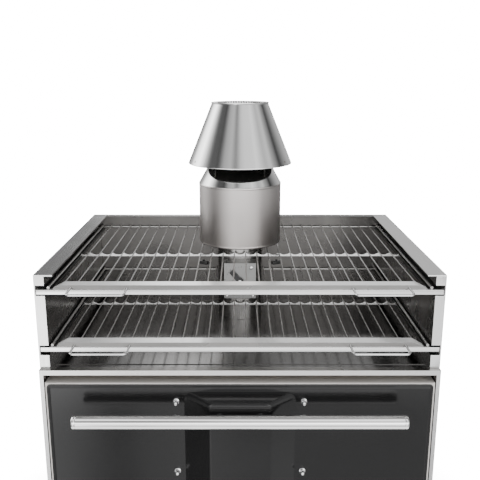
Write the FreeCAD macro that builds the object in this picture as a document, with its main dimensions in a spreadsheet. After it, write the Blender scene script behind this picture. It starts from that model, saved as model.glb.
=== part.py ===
import FreeCAD, Part
import os
import math
import Sketcher
from FreeCAD import Vector, Rotation, Placement

# Charcoal oven with a chimney and a two-level pull-out rack housing on top.
# Millimetres. +Z up, the front faces -Y. Origin: centre of the footprint's box, on the floor.

os.makedirs("parts", exist_ok=True)
doc = FreeCAD.newDocument("charcoal_oven")
sheet = doc.addObject("Spreadsheet::Sheet", "Dims")


class Q:
    """A size that carries its value and the sheet expression it comes from."""

    def __init__(self, v, t=None):
        self.v = float(v)
        self.t = t if t is not None else "%.6g" % float(v)

    def __add__(self, o):
        o = q(o)
        return Q(self.v + o.v, "(%s + %s)" % (self.t, o.t))

    def __radd__(self, o):
        return q(o) + self

    def __sub__(self, o):
        o = q(o)
        return Q(self.v - o.v, "(%s - %s)" % (self.t, o.t))

    def __rsub__(self, o):
        return q(o) - self

    def __mul__(self, o):
        o = q(o)
        return Q(self.v * o.v, "(%s * %s)" % (self.t, o.t))

    __rmul__ = __mul__

    def __truediv__(self, o):
        o = q(o)
        return Q(self.v / o.v, "(%s / %s)" % (self.t, o.t))

    def __neg__(self):
        return Q(-self.v, "(0 - %s)" % self.t)


def q(x):
    return x if isinstance(x, Q) else Q(x)


_row = [0]


def dim(alias, value):
    _row[0] += 1
    sheet.set("A%d" % _row[0], alias)
    sheet.set("B%d" % _row[0], "%g" % value)
    sheet.setAlias("B%d" % _row[0], alias)
    return Q(value, "Dims." + alias)


# ---- driving dimensions -------------------------------------------------
half_w = dim("half_width", 440)          # half the overall width
yfh = dim("housing_front", -275)
ybh = dim("housing_back", 345)
yfc = dim("cabinet_front", -285)
ybc = dim("cabinet_back", 360)
z_leg = dim("leg_height", 100)
z_deck = dim("deck_height", 700)
z_top = dim("housing_top", 915)
skin = dim("sheet_thk", 1.5)
wall = dim("wall_thk", 22.5)
flange = dim("flange_width", 41)
flange_t = dim("flange_thk", 3)
slot_u_t = dim("slot_upper_top", 891.5)
slot_u_b = dim("slot_upper_bottom", 868.5)
slot_l_t = dim("slot_lower_top", 754.5)
slot_l_b = dim("slot_lower_bottom", 732)
bar_u = dim("rack_upper_level", 882.3)   # top of the upper rack's front bar
bar_l = dim("rack_lower_level", 750.7)
bar_half = dim("rack_bar_half", 435)
bar_tall = dim("rack_bar_height", 11.2)
bar_deep = dim("rack_bar_depth", 8)
pitch = dim("wire_pitch", 28.3)
wire_r = dim("wire_radius", 1.6)
side_r = dim("side_rod_radius", 3)
rack_back = dim("rack_back", 320)
cross_y = dim("crossbar_y", 12)
cross_t = dim("crossbar_thk", 3)
run_in = dim("runner_inner", 405)
run_out = dim("runner_outer", 434.5)
hd_in = dim("rack_handle_inner", 241)
hd_out = dim("rack_handle_outer", 362)
hd_reach = dim("rack_handle_reach", 43)
hd_r = dim("rack_handle_rod", 2.6)
flue_y = dim("flue_centre", 80)
flue_r = dim("flue_radius", 58)
flue_t = dim("flue_thk", 2)
damp_z = dim("damper_height", 817)
spin_r = dim("spindle_radius", 4)
run_fit = dim("running_clearance", 0.05)
dbox_w = dim("damper_box_half", 40.5)
dbox_b = dim("damper_box_bottom", 770)
dbox_t = dim("damper_box_top", 863.5)
dbox_f = dim("damper_box_front", -8)
arr_r = dim("arrestor_radius", 105.6)
arr_b = dim("arrestor_bottom", 903.4)
arr_t = dim("arrestor_shoulder", 1057.4)
neck_r = dim("neck_radius", 82)
neck_z = dim("neck_level", 1098)
neck_t = dim("neck_top", 1125)
hat_b = dim("hat_bottom", 1106.8)
hat_t = dim("hat_top", 1259.8)
hat_rb = dim("hat_bottom_radius", 131.5)
hat_rt = dim("hat_top_radius", 71.5)
fr_in = dim("frame_inner_half", 431)
fr_top = dim("frame_inner_top", 688.7)
fr_bot = dim("frame_inner_bottom", 112)
fr_deep = dim("frame_depth", 20)
dr_half = dim("door_half", 428.5)
dr_b = dim("door_bottom", 231)
dr_t = dim("door_top", 671)
dr_back = dim("door_back", -243)
pn_half = dim("panel_half", 425)
pn_b = dim("panel_bottom", 234)
pn_t = dim("panel_top", 667.5)
pn_thk = dim("panel_thk", 3)
sp_proj = dim("spine_projection", 38)
sp_wide = dim("spine_base_half", 123)
sp_face = dim("spine_face_half", 66)
sp_t = dim("spine_top", 650)
sp_b = dim("spine_bottom", 252)
hn_half = dim("handle_half", 356)
hn_r = dim("handle_radius", 15)
hn_y = dim("handle_y", -345)
hn_z = dim("handle_z", 609)
nut_x = dim("nut_x", 141)
nut_z1 = dim("nut_z_upper", 628)
nut_gap = dim("nut_spacing", 173)
th_z = dim("thermo_z", 350)
th_r = dim("thermo_radius", 32)
hg_y = dim("hinge_y", -279.5)
hg_z = dim("hinge_z", 243.5)
hg_r = dim("hinge_pin_radius", 4)
bk_y = dim("bulkhead_y", -240)
mouth_x = dim("mouth_half", 355)
mouth_b = dim("mouth_bottom", 268)
mouth_t = dim("mouth_top", 640)
ch_back = dim("chamber_back", 292)
ch_floor = dim("chamber_floor_z", 262)
ch_t = dim("chamber_thk", 3)
lp_t = dim("lower_panel_top", 226)
dw_half = dim("drawer_half", 245)
dw_b = dim("drawer_bottom", 124)
dw_t = dim("drawer_top", 174)
dw_back = dim("drawer_back", 180)
sh_x0 = dim("shutter_left", 282)
sh_x1 = dim("shutter_right", 402)

doc.recompute()

NODES = {}
_n = [0]


def _name(stem):
    _n[0] += 1
    return "%s%03d" % (stem, _n[0])


def keep(label, obj):
    obj.Label = label
    NODES[label] = obj
    return obj


def bind(obj, prop, size):
    size = q(size)
    obj.setExpression(prop, size.t)


def at(obj, x=0, y=0, z=0):
    x, y, z = q(x), q(y), q(z)
    obj.Placement = Placement(Vector(x.v, y.v, z.v), obj.Placement.Rotation)
    for axis, s in zip("xyz", (x, y, z)):
        if "Dims" in s.t:
            bind(obj, "Placement.Base." + axis, s)
    return obj


def box(x0, x1, y0, y1, z0, z1):
    o = doc.addObject("Part::Box", _name("Box"))
    for prop, a, b in (("Length", x0, x1), ("Width", y0, y1), ("Height", z0, z1)):
        s = q(b) - q(a)
        setattr(o, prop, s.v)
        bind(o, prop, s)
    return at(o, x0, y0, z0)


def cyl(r, p, length, axis="z"):
    """A round bar from p along +axis."""
    o = doc.addObject("Part::Cylinder", _name("Cyl"))
    o.Radius, o.Height = q(r).v, q(length).v
    bind(o, "Radius", r)
    bind(o, "Height", length)
    rot = {"z": Rotation(), "x": Rotation(Vector(0, 1, 0), 90), "y": Rotation(Vector(1, 0, 0), -90)}[axis]
    o.Placement = Placement(Vector(0, 0, 0), rot)
    return at(o, *p)


def cut(a, b):
    o = doc.addObject("Part::Cut", _name("Cut"))
    o.Base, o.Tool = a, b
    return o


def fuse(*parts):
    o = doc.addObject("Part::MultiFuse", _name("Fuse"))
    o.Shapes = list(parts)
    return o


def group(*parts):
    """Separate solids kept as one node."""
    o = doc.addObject("Part::Compound", _name("Group"))
    o.Links = list(parts)
    return o


def minus(a, *tools):
    return cut(a, tools[0] if len(tools) == 1 else fuse(*tools))


def origin_plane(body, role):
    return [f for f in body.Origin.OriginFeatures if f.Role == role][0]


def sketch(body, role, loops):
    sk = body.newObject("Sketcher::SketchObject", _name("Sketch"))
    sk.AttachmentSupport = [(origin_plane(body, role), "")]
    sk.MapMode = "FlatFace"
    n = 0
    for loop in loops:
        if loop[0] == "circle":
            u, v, r = (q(s) for s in loop[1:])
            sk.addGeometry(Part.Circle(Vector(u.v, v.v, 0), Vector(0, 0, 1), r.v), False)
            c = sk.addConstraint(Sketcher.Constraint("Radius", n, r.v))
            sk.setExpression("Constraints[%d]" % c, r.t)
            for kind, s in (("DistanceX", u), ("DistanceY", v)):
                c = sk.addConstraint(Sketcher.Constraint(kind, -1, 1, n, 3, s.v))
                sk.setExpression("Constraints[%d]" % c, s.t)
            n += 1
            continue
        pts = [(q(u), q(v)) for u, v in loop]
        m = len(pts)
        for i in range(m):
            a, b = pts[i], pts[(i + 1) % m]
            sk.addGeometry(Part.LineSegment(Vector(a[0].v, a[1].v, 0), Vector(b[0].v, b[1].v, 0)), False)
        for i in range(m):
            sk.addConstraint(Sketcher.Constraint("Coincident", n + i, 2, n + (i + 1) % m, 1))
        for i, (u, v) in enumerate(pts):
            for kind, s in (("DistanceX", u), ("DistanceY", v)):
                c = sk.addConstraint(Sketcher.Constraint(kind, -1, 1, n + i, 1, s.v))
                sk.setExpression("Constraints[%d]" % c, s.t)
        n += m
    return sk


def body_of():
    b = doc.addObject("PartDesign::Body", _name("Body"))
    b.AllowCompound = True
    return b


def add_pad(body, role, loops, length, back=False):
    sk = sketch(body, role, loops)
    p = body.newObject("PartDesign::Pad", _name("Pad"))
    p.Profile = sk
    length = q(length)
    p.Length = length.v
    bind(p, "Length", length)
    p.Reversed = (role == "XZ_Plane") != back
    doc.recompute()
    return p


def prism(role, loops, start, length):
    """A profile drawn on a plane and padded: XZ runs along +Y from start, YZ along +X, XY along +Z."""
    b = body_of()
    add_pad(b, role, loops, length)
    base = {"XZ_Plane": (0, start, 0), "YZ_Plane": (start, 0, 0), "XY_Plane": (0, 0, start)}[role]
    return at(b, *base)


def add_pattern(body, feature, role, length, count):
    lp = body.newObject("PartDesign::LinearPattern", _name("Pattern"))
    lp.Originals = [feature]
    lp.Direction = (origin_plane(body, role), [""])
    length = q(length)
    lp.Length = length.v
    bind(lp, "Length", length)
    lp.Occurrences = count
    body.Tip = lp
    doc.recompute()
    return lp


def turned(loop, cx=0, cy=0, angle=360, start=0):
    """A profile in (radius, height) turned round the vertical axis through (cx, cy)."""
    b = body_of()
    sk = sketch(b, "XZ_Plane", [loop])
    r = b.newObject("PartDesign::Revolution", _name("Turn"))
    r.Profile = sk
    r.ReferenceAxis = (sk, ["V_Axis"])
    r.Angle = angle
    doc.recompute()
    b.Placement = Placement(Vector(0, 0, 0), Rotation(Vector(0, 0, 1), start))
    return at(b, cx, cy, 0)


def staves(loops, count):
    """The same profiles turned in equal sectors, as rolled plates seamed side by side."""
    return [turned(loop, 0, flue_y, 360.0 / count, 360.0 * k / count) for loop in loops for k in range(count)]


def rounded(body, radius, test):
    """Fillets the edges of the body's tip that pass the test."""
    doc.recompute()
    tip = body.Tip
    names = []
    for i, e in enumerate(tip.Shape.Edges):
        if test(e):
            names.append("Edge%d" % (i + 1))
    f = body.newObject("PartDesign::Fillet", _name("Round"))
    f.Base = (tip, names)
    f.Radius = q(radius).v
    bind(f, "Radius", radius)
    doc.recompute()
    return f


def along(axis):
    i = "xyz".index(axis)

    def test(e):
        a, b = e.Vertexes[0].Point, e.Vertexes[-1].Point
        d = [abs(b[k] - a[k]) for k in range(3)]
        return e.Curve.TypeId == "Part::GeomLine" and d[i] > 0.5 and all(d[k] < 1e-6 for k in range(3) if k != i)

    return test


def wedge(x, y, z, x2, y2, flip=False):
    """A hipped block: base rectangle x by y at height z[0], top rectangle x2 by y2 at z[1]."""
    o = doc.addObject("Part::Wedge", _name("Hip"))
    # Part::Wedge tapers along its own Y, so it is turned to taper along Z.
    vals = {"Xmin": x[0], "Xmax": x[1], "X2min": x2[0], "X2max": x2[1],
            "Zmin": -q(y[1]), "Zmax": -q(y[0]), "Z2min": -q(y2[1]), "Z2max": -q(y2[0]),
            "Ymin": z[0], "Ymax": z[1]}
    for k, s in vals.items():
        setattr(o, k, q(s).v)
        bind(o, k, s)
    o.Placement = Placement(Vector(0, 0, 0), Rotation(Vector(1, 0, 0), 90))
    return o


# ---- rack housing -------------------------------------------------------
def housing_wall(side):
    s = side
    xin = half_w - wall
    o = [(half_w, z_deck), (half_w, z_top - flange_t), (xin, z_top - flange_t), (xin, slot_u_t), (half_w - 3, slot_u_t), (half_w - 3, slot_u_b),
         (xin, slot_u_b), (xin, slot_l_t), (half_w - 3, slot_l_t), (half_w - 3, slot_l_b), (xin, slot_l_b), (xin, z_deck)]
    if s < 0:
        o = [(-u, v) for u, v in o][::-1]
    solid = prism("XZ_Plane", [o], yfh, ybh - yfh)

    def hollow(z0, z1):
        a, b = xin + skin, half_w - skin
        if s < 0:
            a, b = -b, -a
        return box(a, b, yfh + skin, ybh + 1, z0, z1)

    shell = minus(solid, hollow(slot_u_t + skin, z_top - flange_t), hollow(slot_l_t + skin, slot_u_b - skin),
                  hollow(z_deck + skin, slot_l_b - skin))
    a, b = (half_w - flange, half_w) if s > 0 else (-half_w, -half_w + flange)
    c, d = (xin, half_w - 3) if s > 0 else (-half_w + 3, -xin)
    # the slots are closed at the rear
    ends = [box(c, d, ybh - skin, ybh, z0, z1) for z0, z1 in ((slot_u_b, slot_u_t), (slot_l_b, slot_l_t))]
    return group(shell, box(a, b, yfh, ybh, z_top - flange_t, z_top), *ends)


keep("housing_left_wall", housing_wall(-1))
keep("housing_right_wall", housing_wall(1))

xin = half_w - wall
back_loop = [(ybh - wall, z_deck), (ybh, z_deck), (ybh, z_top - flange_t), (ybh - wall, z_top - flange_t)]
back_void = [(ybh - wall + skin, z_deck + skin), (ybh - skin, z_deck + skin), (ybh - skin, z_top - flange_t - skin),
             (ybh - wall + skin, z_top - flange_t - skin)]
back_box = prism("YZ_Plane", [back_loop, back_void], -xin, 2 * xin)
back_lip = box(-(half_w - flange), half_w - flange, ybh - 28, ybh, z_top - flange_t, z_top)
keep("housing_back_wall", group(back_box, back_lip))

floor = box(-xin, xin, yfh + 21, ybh - wall, z_deck, z_deck + skin)
keep("housing_floor", cut(floor, cyl(flue_r + 1.5, (0, flue_y, z_deck - 2), 8)))


def channel(side, level):
    a = [(half_w - wall, level - 12.5), (half_w - 3, level - 12.5), (half_w - 3, level), (half_w - wall, level),
         (half_w - wall, level - 2), (half_w - 5, level - 2), (half_w - 5, level - 10.5), (half_w - wall, level - 10.5)]
    if side < 0:
        a = [(-u, v) for u, v in a][::-1]
    return prism("XZ_Plane", [a], yfh + 11, ybh - wall - yfh - 12)


keep("slide_channels", group(*[channel(s, lv) for s in (-1, 1) for lv in (bar_u, bar_l)]))


# ---- pull-out racks -----------------------------------------------------
def rack(stem, zb):
    bar = body_of()
    add_pad(bar, "YZ_Plane", [[(yfh, zb - bar_tall), (yfh + bar_deep, zb - bar_tall), (yfh + bar_deep, zb), (yfh, zb)]], 2 * bar_half)
    rounded(bar, 1.2, along("x"))
    keep(stem + "_front_bar", at(bar, -bar_half, 0, 0))

    keep(stem + "_nose", wedge((-402, 402), (yfh + 1.5, yfh + 23), (zb, zb + 7.5), (-382, 382), (yfh + bar_deep, yfh + 36.5)))

    # longitudinal wires, thirteen a side, tied by the cross bar and a rear rod
    def half_grid(side):
        b = body_of()
        x_in, x_out = pitch * 2.5, pitch * 14.5
        lo, hi = (x_in - 2, x_out + 2) if side > 0 else (-x_out - 2, -x_in + 2)
        add_pad(b, "YZ_Plane", [["circle", rack_back - 3, zb + 0.6, side_r]], hi - lo)
        at(b, lo, 0, 0)
        start = -lo + (x_in if side > 0 else -x_in)
        wires = add_pad(b, "XZ_Plane", [["circle", start, zb + 5, wire_r]], rack_back - (yfh + 30))
        wires.Profile[0].AttachmentOffset = Placement(Vector(0, 0, -(yfh.v + 30)), Rotation())
        bind(wires.Profile[0], "AttachmentOffset.Base.z", -(yfh + 30))
        doc.recompute()
        pat = add_pattern(b, wires, "YZ_Plane", pitch * 11, 12)
        if side < 0:
            pat.Reversed = True
        doc.recompute()
        edge = add_pad(b, "XZ_Plane", [["circle", -lo + (x_out if side > 0 else -x_out), zb + 3, side_r]], rack_back - (yfh + 5))
        edge.Profile[0].AttachmentOffset = Placement(Vector(0, 0, -(yfh.v + 5)), Rotation())
        bind(edge.Profile[0], "AttachmentOffset.Base.z", -(yfh + 5))
        doc.recompute()
        return b

    short = [cyl(wire_r, (pitch * k, yfh + 30, zb + 5), cross_y + cross_t - (yfh + 30), "y") for k in (-1.5, -0.5, 0.5, 1.5)]
    keep(stem + "_grid", group(half_grid(-1), half_grid(1), *short))

    # scalloped cross bar under the wires
    cb = body_of()
    add_pad(cb, "XZ_Plane", [[(-run_in, zb - 5.4), (run_in, zb - 5.4), (run_in, zb + 3.4), (-run_in, zb + 3.4)]], cross_t)
    sk = sketch(cb, "XZ_Plane", [["circle", -pitch * 14, zb + 15.6, 17.6]])
    pk = cb.newObject("PartDesign::Pocket", _name("Bite"))
    pk.Profile = sk
    pk.Type = 1
    pk.Midplane = True
    doc.recompute()
    add_pattern(cb, pk, "YZ_Plane", pitch * 28, 29)
    keep(stem + "_crossbar", at(cb, 0, cross_y, 0))

    keep(stem + "_runners", group(*[box(a, b, yfh + bar_deep, rack_back, zb - 10, zb - 2.4) for a, b in ((-run_out, -run_in), (run_in, run_out))]))

    # bent-wire pulls
    def pull(side):
        y0, y1, z, r = (yfh + 4).v, (yfh - hd_reach).v, (zb + hd_r - 0.2).v, hd_r.v
        xa, xb, bend = side * hd_in.v, side * hd_out.v, 9.0
        sgn = 1 if xb > xa else -1
        s = math.sqrt(0.5)
        p = [Vector(xa, y0, z), Vector(xa, y1 + bend, z), Vector(xa + sgn * bend * (1 - s), y1 + bend * (1 - s), z),
             Vector(xa + sgn * bend, y1, z), Vector(xb - sgn * bend, y1, z),
             Vector(xb - sgn * bend * (1 - s), y1 + bend * (1 - s), z), Vector(xb, y1 + bend, z), Vector(xb, y0, z)]
        path = Part.Wire([Part.LineSegment(p[0], p[1]).toShape(), Part.Arc(p[1], p[2], p[3]).toShape(),
                          Part.LineSegment(p[3], p[4]).toShape(), Part.Arc(p[4], p[5], p[6]).toShape(),
                          Part.LineSegment(p[6], p[7]).toShape()])
        ring = Part.Wire([Part.makeCircle(r, p[0], Vector(0, 1, 0))])
        o = doc.addObject("Part::Feature", _name("Pull"))
        o.Shape = path.makePipeShell([ring], True, True)
        return o

    keep(stem + "_handles", group(pull(-1), pull(1)))


rack("upper_rack", bar_u)
rack("lower_rack", bar_l)

# ---- chimney ------------------------------------------------------------
pipe = turned([(flue_r - flue_t, mouth_t), (flue_r, mouth_t), (flue_r, arr_b + 40), (flue_r - flue_t, arr_b + 40)], 0, flue_y)
keep("flue_pipe", cut(pipe, cyl(spin_r + run_fit, (0, flue_y - 80, damp_z), 160, "y")))

disc = cyl(flue_r - flue_t - 2, (0, flue_y, damp_z), 2)
disc.Placement = Placement(Vector(-0.7071, flue_y.v, damp_z.v - 0.7071), Rotation(Vector(0, 1, 0), 45))
sleeve = cyl(spin_r + 2.5, (0, flue_y - 50, damp_z), 100, "y")
keep("damper_disc", cut(fuse(disc, sleeve), cyl(spin_r, (0, flue_y - 80, damp_z), 160, "y")))
keep("damper_spindle", cyl(spin_r, (0, dbox_f - 7, damp_z), 152 + 7, "y"))

lever_bar = box(-6, 6, dbox_f - 7, dbox_f - 3, -30, 34)
lever_hub = cyl(9, (0, dbox_f - 7, 0), 6, "y")
lever_raw = cut(fuse(lever_bar, lever_hub), cyl(spin_r, (0, dbox_f - 9, 0), 12, "y"))
lever_raw.Placement = Placement(Vector(0, 0, damp_z.v), Rotation(Vector(0, 1, 0), -40))
bind(lever_raw, "Placement.Base.z", damp_z)
keep("damper_lever", lever_raw)

dbox = box(-dbox_w, dbox_w, dbox_f, flue_y - flue_r + 6, dbox_b, dbox_t)
dbox_in = box(-dbox_w + skin, dbox_w - skin, dbox_f + skin, flue_y, dbox_b + skin, dbox_t - skin)
keep("damper_box", minus(dbox, dbox_in, cyl(flue_r, (0, flue_y, dbox_b - 5), 110), cyl(spin_r + run_fit, (0, dbox_f - 5, damp_z), 20, "y")))

arr_floor = [(flue_r, arr_b), (arr_r - skin, arr_b), (arr_r - skin, arr_b + skin), (flue_r, arr_b + skin)]
arr_barrel = [(arr_r - skin, arr_b), (arr_r, arr_b), (arr_r, arr_t), (arr_r - skin, arr_t)]
arr_cone = [(arr_r - skin, arr_t), (arr_r, arr_t), (neck_r, neck_z), (neck_r - skin, neck_z)]
arr_neck = [(neck_r - skin, neck_z), (neck_r, neck_z), (neck_r, neck_t), (neck_r - skin, neck_t)]
keep("arrestor_body", group(*staves([arr_floor, arr_barrel, arr_cone, arr_neck], 12)))

baf_z = arr_b + 80
straps = []
for k in range(3):
    s = box(60, arr_r - skin, -7, 7, 0, 2)
    s.Placement = Placement(Vector(0, flue_y.v, baf_z.v), Rotation(Vector(0, 0, 1), 90 + 120 * k)).multiply(Placement(Vector(60, -7, 0), Rotation()))
    straps.append(s)
cone_b = turned([(0, baf_z), (74, baf_z), (74, baf_z + 2), (0, baf_z + 2)], 0, flue_y)
keep("arrestor_baffle", fuse(cone_b, *straps))

hat = [(hat_rb - skin, hat_b), (hat_rb, hat_b), (hat_rt, hat_t - 2), (hat_rt + 1.2, hat_t - 1), (hat_rt, hat_t), (hat_rt - skin, hat_t),
       (hat_rt - skin, hat_t - 3)]
keep("hat", turned(hat, 0, flue_y))

struts = []
for k in range(3):
    s = box(0, 1, 0, 1, 0, 1)
    for prop, size in (("Length", Q(125.6) - neck_r), ("Width", Q(2)), ("Height", Q(10))):
        setattr(s, prop, size.v)
        bind(s, prop, size)
    s.Placement = Placement(Vector(0, flue_y.v, hat_b.v + 3), Rotation(Vector(0, 0, 1), 90 + 120 * k)).multiply(Placement(Vector(neck_r.v, -1, 0), Rotation()))
    struts.append(s)
keep("hat_struts", group(*struts))

scr = body_of()
add_pad(scr, "XY_Plane", [["circle", 0, 0, hat_rt - 0.7]], 1.5)
at(scr, 0, flue_y, hat_t - 5)
for ring_r, count in ((16, 8), (30, 14), (44, 20), (58, 28)):
    pk = scr.newObject("PartDesign::Pocket", _name("Perf"))
    pk.Profile = sketch(scr, "XY_Plane", [["circle", ring_r, 0, 4.2]])
    pk.Type = 1
    pk.Midplane = True
    doc.recompute()
    pp = scr.newObject("PartDesign::PolarPattern", _name("Ring"))
    pp.Originals = [pk]
    pp.Axis = (origin_plane(scr, "Z_Axis"), [""])
    pp.Angle = 360
    pp.Occurrences = count
    scr.Tip = pp
    doc.recompute()
keep("hat_screen", scr)

# ---- cabinet ------------------------------------------------------------
keep("cabinet_left_side", box(-half_w, -half_w + skin, yfc + fr_deep, ybc, z_leg, z_deck))
keep("cabinet_right_side", box(half_w - skin, half_w, yfc + fr_deep, ybc, z_leg, z_deck))
keep("cabinet_rear_panel", box(-half_w + skin, half_w - skin, ybc - skin, ybc, z_leg, z_deck))
deck = box(-half_w + skin, half_w - skin, yfc + fr_deep, ybc - skin, z_deck - skin, z_deck)
keep("top_deck", cut(deck, cyl(flue_r + 0.5, (0, flue_y, z_deck - 5), 10)))

rails = []
for s in (-1, 1):
    a, b = (dw_half + 1, dw_half + 3) if s > 0 else (-dw_half - 3, -dw_half - 1)
    rails.append(box(a, b, -260, dw_back, z_leg + skin, dw_t + 4))
    a, b = (dw_half - 14, dw_half + 1) if s > 0 else (-dw_half - 1, -dw_half + 14)
    rails.append(box(a, b, -260, dw_back, dw_b - 2.4, dw_b - 0.4))
keep("base_panel", group(box(-half_w + skin, half_w - skin, yfc + fr_deep, ybc - skin, z_leg, z_leg + skin), *rails))

pin_cut = [cyl(hg_r, (x, hg_y, hg_z), 26, "x") for x in (-half_w - 8, half_w - 18)]
keep("front_frame", group(box(-half_w, half_w, yfc, yfc + fr_deep, fr_top, z_deck),
                          box(-half_w, half_w, yfc, yfc + fr_deep, z_leg, fr_bot),
                          cut(box(-half_w, -fr_in, yfc, yfc + fr_deep, fr_bot, fr_top), pin_cut[0]),
                          cut(box(fr_in, half_w, yfc, yfc + fr_deep, fr_bot, fr_top), pin_cut[1])))

keep("bulkhead", group(box(-half_w + skin, -mouth_x, bk_y, bk_y + 2, lp_t + 1.5, z_deck - skin),
                       box(mouth_x, half_w - skin, bk_y, bk_y + 2, lp_t + 1.5, z_deck - skin),
                       box(-mouth_x, mouth_x, bk_y, bk_y + 2, lp_t + 1.5, mouth_b),
                       box(-mouth_x, mouth_x, bk_y, bk_y + 2, mouth_t, z_deck - skin)))

lp_shelf = box(-fr_in, fr_in, yfc + 2, bk_y + 2, lp_t, lp_t + 1.5)
slots = [box(sh_x0 + 16 + 20 * k, sh_x0 + 24 + 20 * k, yfc - 5, yfc + 10, 140, 190) for k in range(5)]
ox, oz0, oz1 = dw_half + 4, dw_b - 3, dw_t + 4


def guide(z0, z1, lip0, lip1):
    return fuse(box(sh_x0 - 4, sh_x1 + 16, yfc - 1.8, yfc + 2.1, z0, z1), box(sh_x0 - 4, sh_x1 + 16, yfc - 1.8, yfc - 0.8, lip0, lip1))


keep("lower_front_panel", group(box(-fr_in, fr_in, yfc + 2, yfc + 3.5, oz1, lp_t), box(-fr_in, fr_in, yfc + 2, yfc + 3.5, fr_bot, oz0),
                                box(-fr_in, -ox, yfc + 2, yfc + 3.5, oz0, oz1), minus(box(ox, fr_in, yfc + 2, yfc + 3.5, oz0, oz1), *slots),
                                lp_shelf, guide(198.4, 204, 195, 199), guide(126, 131.6, 131, 135)))

sh = box(sh_x0, sh_x1 - 2, yfc - 0.4, yfc + 1.2, 132, 198)
sh_slots = [box(sh_x0 + 16 + 20 * k, sh_x0 + 24 + 20 * k, yfc - 5, yfc + 10, 140, 190) for k in range(5)]
sh_knob = cyl(7, (sh_x0 + 8, yfc - 12, 165), 13, "y")
keep("air_shutter", fuse(minus(sh, *sh_slots), sh_knob))

side_l = box(-mouth_x - ch_t, -mouth_x, bk_y + 2, ch_back, ch_floor, mouth_t + ch_t)
side_r_ = box(mouth_x, mouth_x + ch_t, bk_y + 2, ch_back, ch_floor, mouth_t + ch_t)
ledges = []
for lv in (462, 552):
    ledges += [box(-mouth_x, -mouth_x + 14, bk_y + 10, ch_back - 4, lv, lv + 3), box(mouth_x - 14, mouth_x, bk_y + 10, ch_back - 4, lv, lv + 3)]
keep("chamber_side_walls", group(side_l, side_r_, *ledges))
keep("chamber_rear_wall", box(-mouth_x - ch_t, mouth_x + ch_t, ch_back, ch_back + ch_t, ch_floor, mouth_t + ch_t))
keep("chamber_roof", cut(box(-mouth_x, mouth_x, bk_y + 2, ch_back, mouth_t, mouth_t + ch_t), cyl(flue_r + 0.4, (0, flue_y, mouth_t - 5), 20)))
cz = ch_floor + ch_t
keep("chamber_floor", group(box(-mouth_x, -230, bk_y + 2, ch_back, ch_floor, cz), box(230, mouth_x, bk_y + 2, ch_back, ch_floor, cz),
                            box(-230, 230, bk_y + 2, -226, ch_floor, cz), box(-230, 230, 166, ch_back, ch_floor, cz),
                            box(-232, -230, -228, 168, dw_t + 8, ch_floor), box(230, 232, -228, 168, dw_t + 8, ch_floor),
                            box(-230, 230, -228, -226, dw_t + 8, ch_floor), box(-230, 230, 166, 168, dw_t + 8, ch_floor)))

ins = [box(-half_w + 2, -mouth_x - ch_t - 1, bk_y + 3, ybc - 2, ch_floor, z_deck - 2),
       box(mouth_x + ch_t + 1, half_w - 2, bk_y + 3, ybc - 2, ch_floor, z_deck - 2),
       box(-mouth_x - ch_t, mouth_x + ch_t, ch_back + ch_t + 1, ybc - 2, ch_floor, z_deck - 2),
       cut(box(-mouth_x - ch_t, mouth_x + ch_t, bk_y + 3, ch_back + ch_t, mouth_t + ch_t + 1, z_deck - 2), cyl(flue_r + 1, (0, flue_y, mouth_t), 90))]
keep("insulation", group(*ins))

fb = [box(-mouth_x + 0.5, -mouth_x + 26, bk_y + 4, ch_back - 0.5, ch_floor + ch_t + 0.5, 400),
      box(mouth_x - 26, mouth_x - 0.5, bk_y + 4, ch_back - 0.5, ch_floor + ch_t + 0.5, 400),
      box(-mouth_x + 27, mouth_x - 27, ch_back - 26, ch_back - 0.5, ch_floor + ch_t + 0.5, 400)]
keep("firebricks", group(*fb))

gr = body_of()
add_pad(gr, "XY_Plane", [[(-320, -225), (320, -225), (320, 258), (-320, 258)]], 12)
at(gr, 0, 0, 295)
pk = gr.newObject("PartDesign::Pocket", _name("Slot"))
pk.Profile = sketch(gr, "XY_Plane", [[(-300, -205), (-288, -205), (-288, 5), (-300, 5)], [(-300, 28), (-288, 28), (-288, 238), (-300, 238)]])
pk.Type = 1
pk.Midplane = True
doc.recompute()
add_pattern(gr, pk, "YZ_Plane", 588, 22)
feet = [box(a, a + 14, b, b + 14, ch_floor + ch_t, 295) for a in (-318, 304) for b in (-224, 243)]
keep("charcoal_grate", group(gr, *feet))


def shelf_grid(z):
    b = body_of()
    add_pad(b, "YZ_Plane", [["circle", -226, z, 4], ["circle", 282, z, 4], ["circle", 30, z - 1, 3]], 700)
    at(b, -350, 0, 0)
    w = add_pad(b, "XZ_Plane", [["circle", 4, z + 1, 3]], 508)
    w.Profile[0].AttachmentOffset = Placement(Vector(0, 0, 226), Rotation())
    doc.recompute()
    add_pattern(b, w, "YZ_Plane", 692, 33)
    return b


keep("cooking_grid", shelf_grid(469))

legs = []
pads = []
for sx in (-1, 1):
    for y0 in (-250, 310):
        a = sx * 400
        legs.append(cut(box(a - 20, a + 20, y0 - 20, y0 + 20, 10, z_leg), box(a - 18, a + 18, y0 - 18, y0 + 18, 9, z_leg - 3)))
        pads.append(cyl(26, (a, y0, 0), 10))
keep("legs", group(*legs))
keep("foot_pads", group(*pads))

# ---- door ---------------------------------------------------------------
fp = prism("XZ_Plane", [[(-pn_half, pn_b), (pn_half, pn_b), (pn_half, pn_t), (-pn_half, pn_t)]], yfc - pn_thk, pn_thk)
rounded(fp, 8, along("y"))
keep("door_front_panel", fp)

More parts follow.
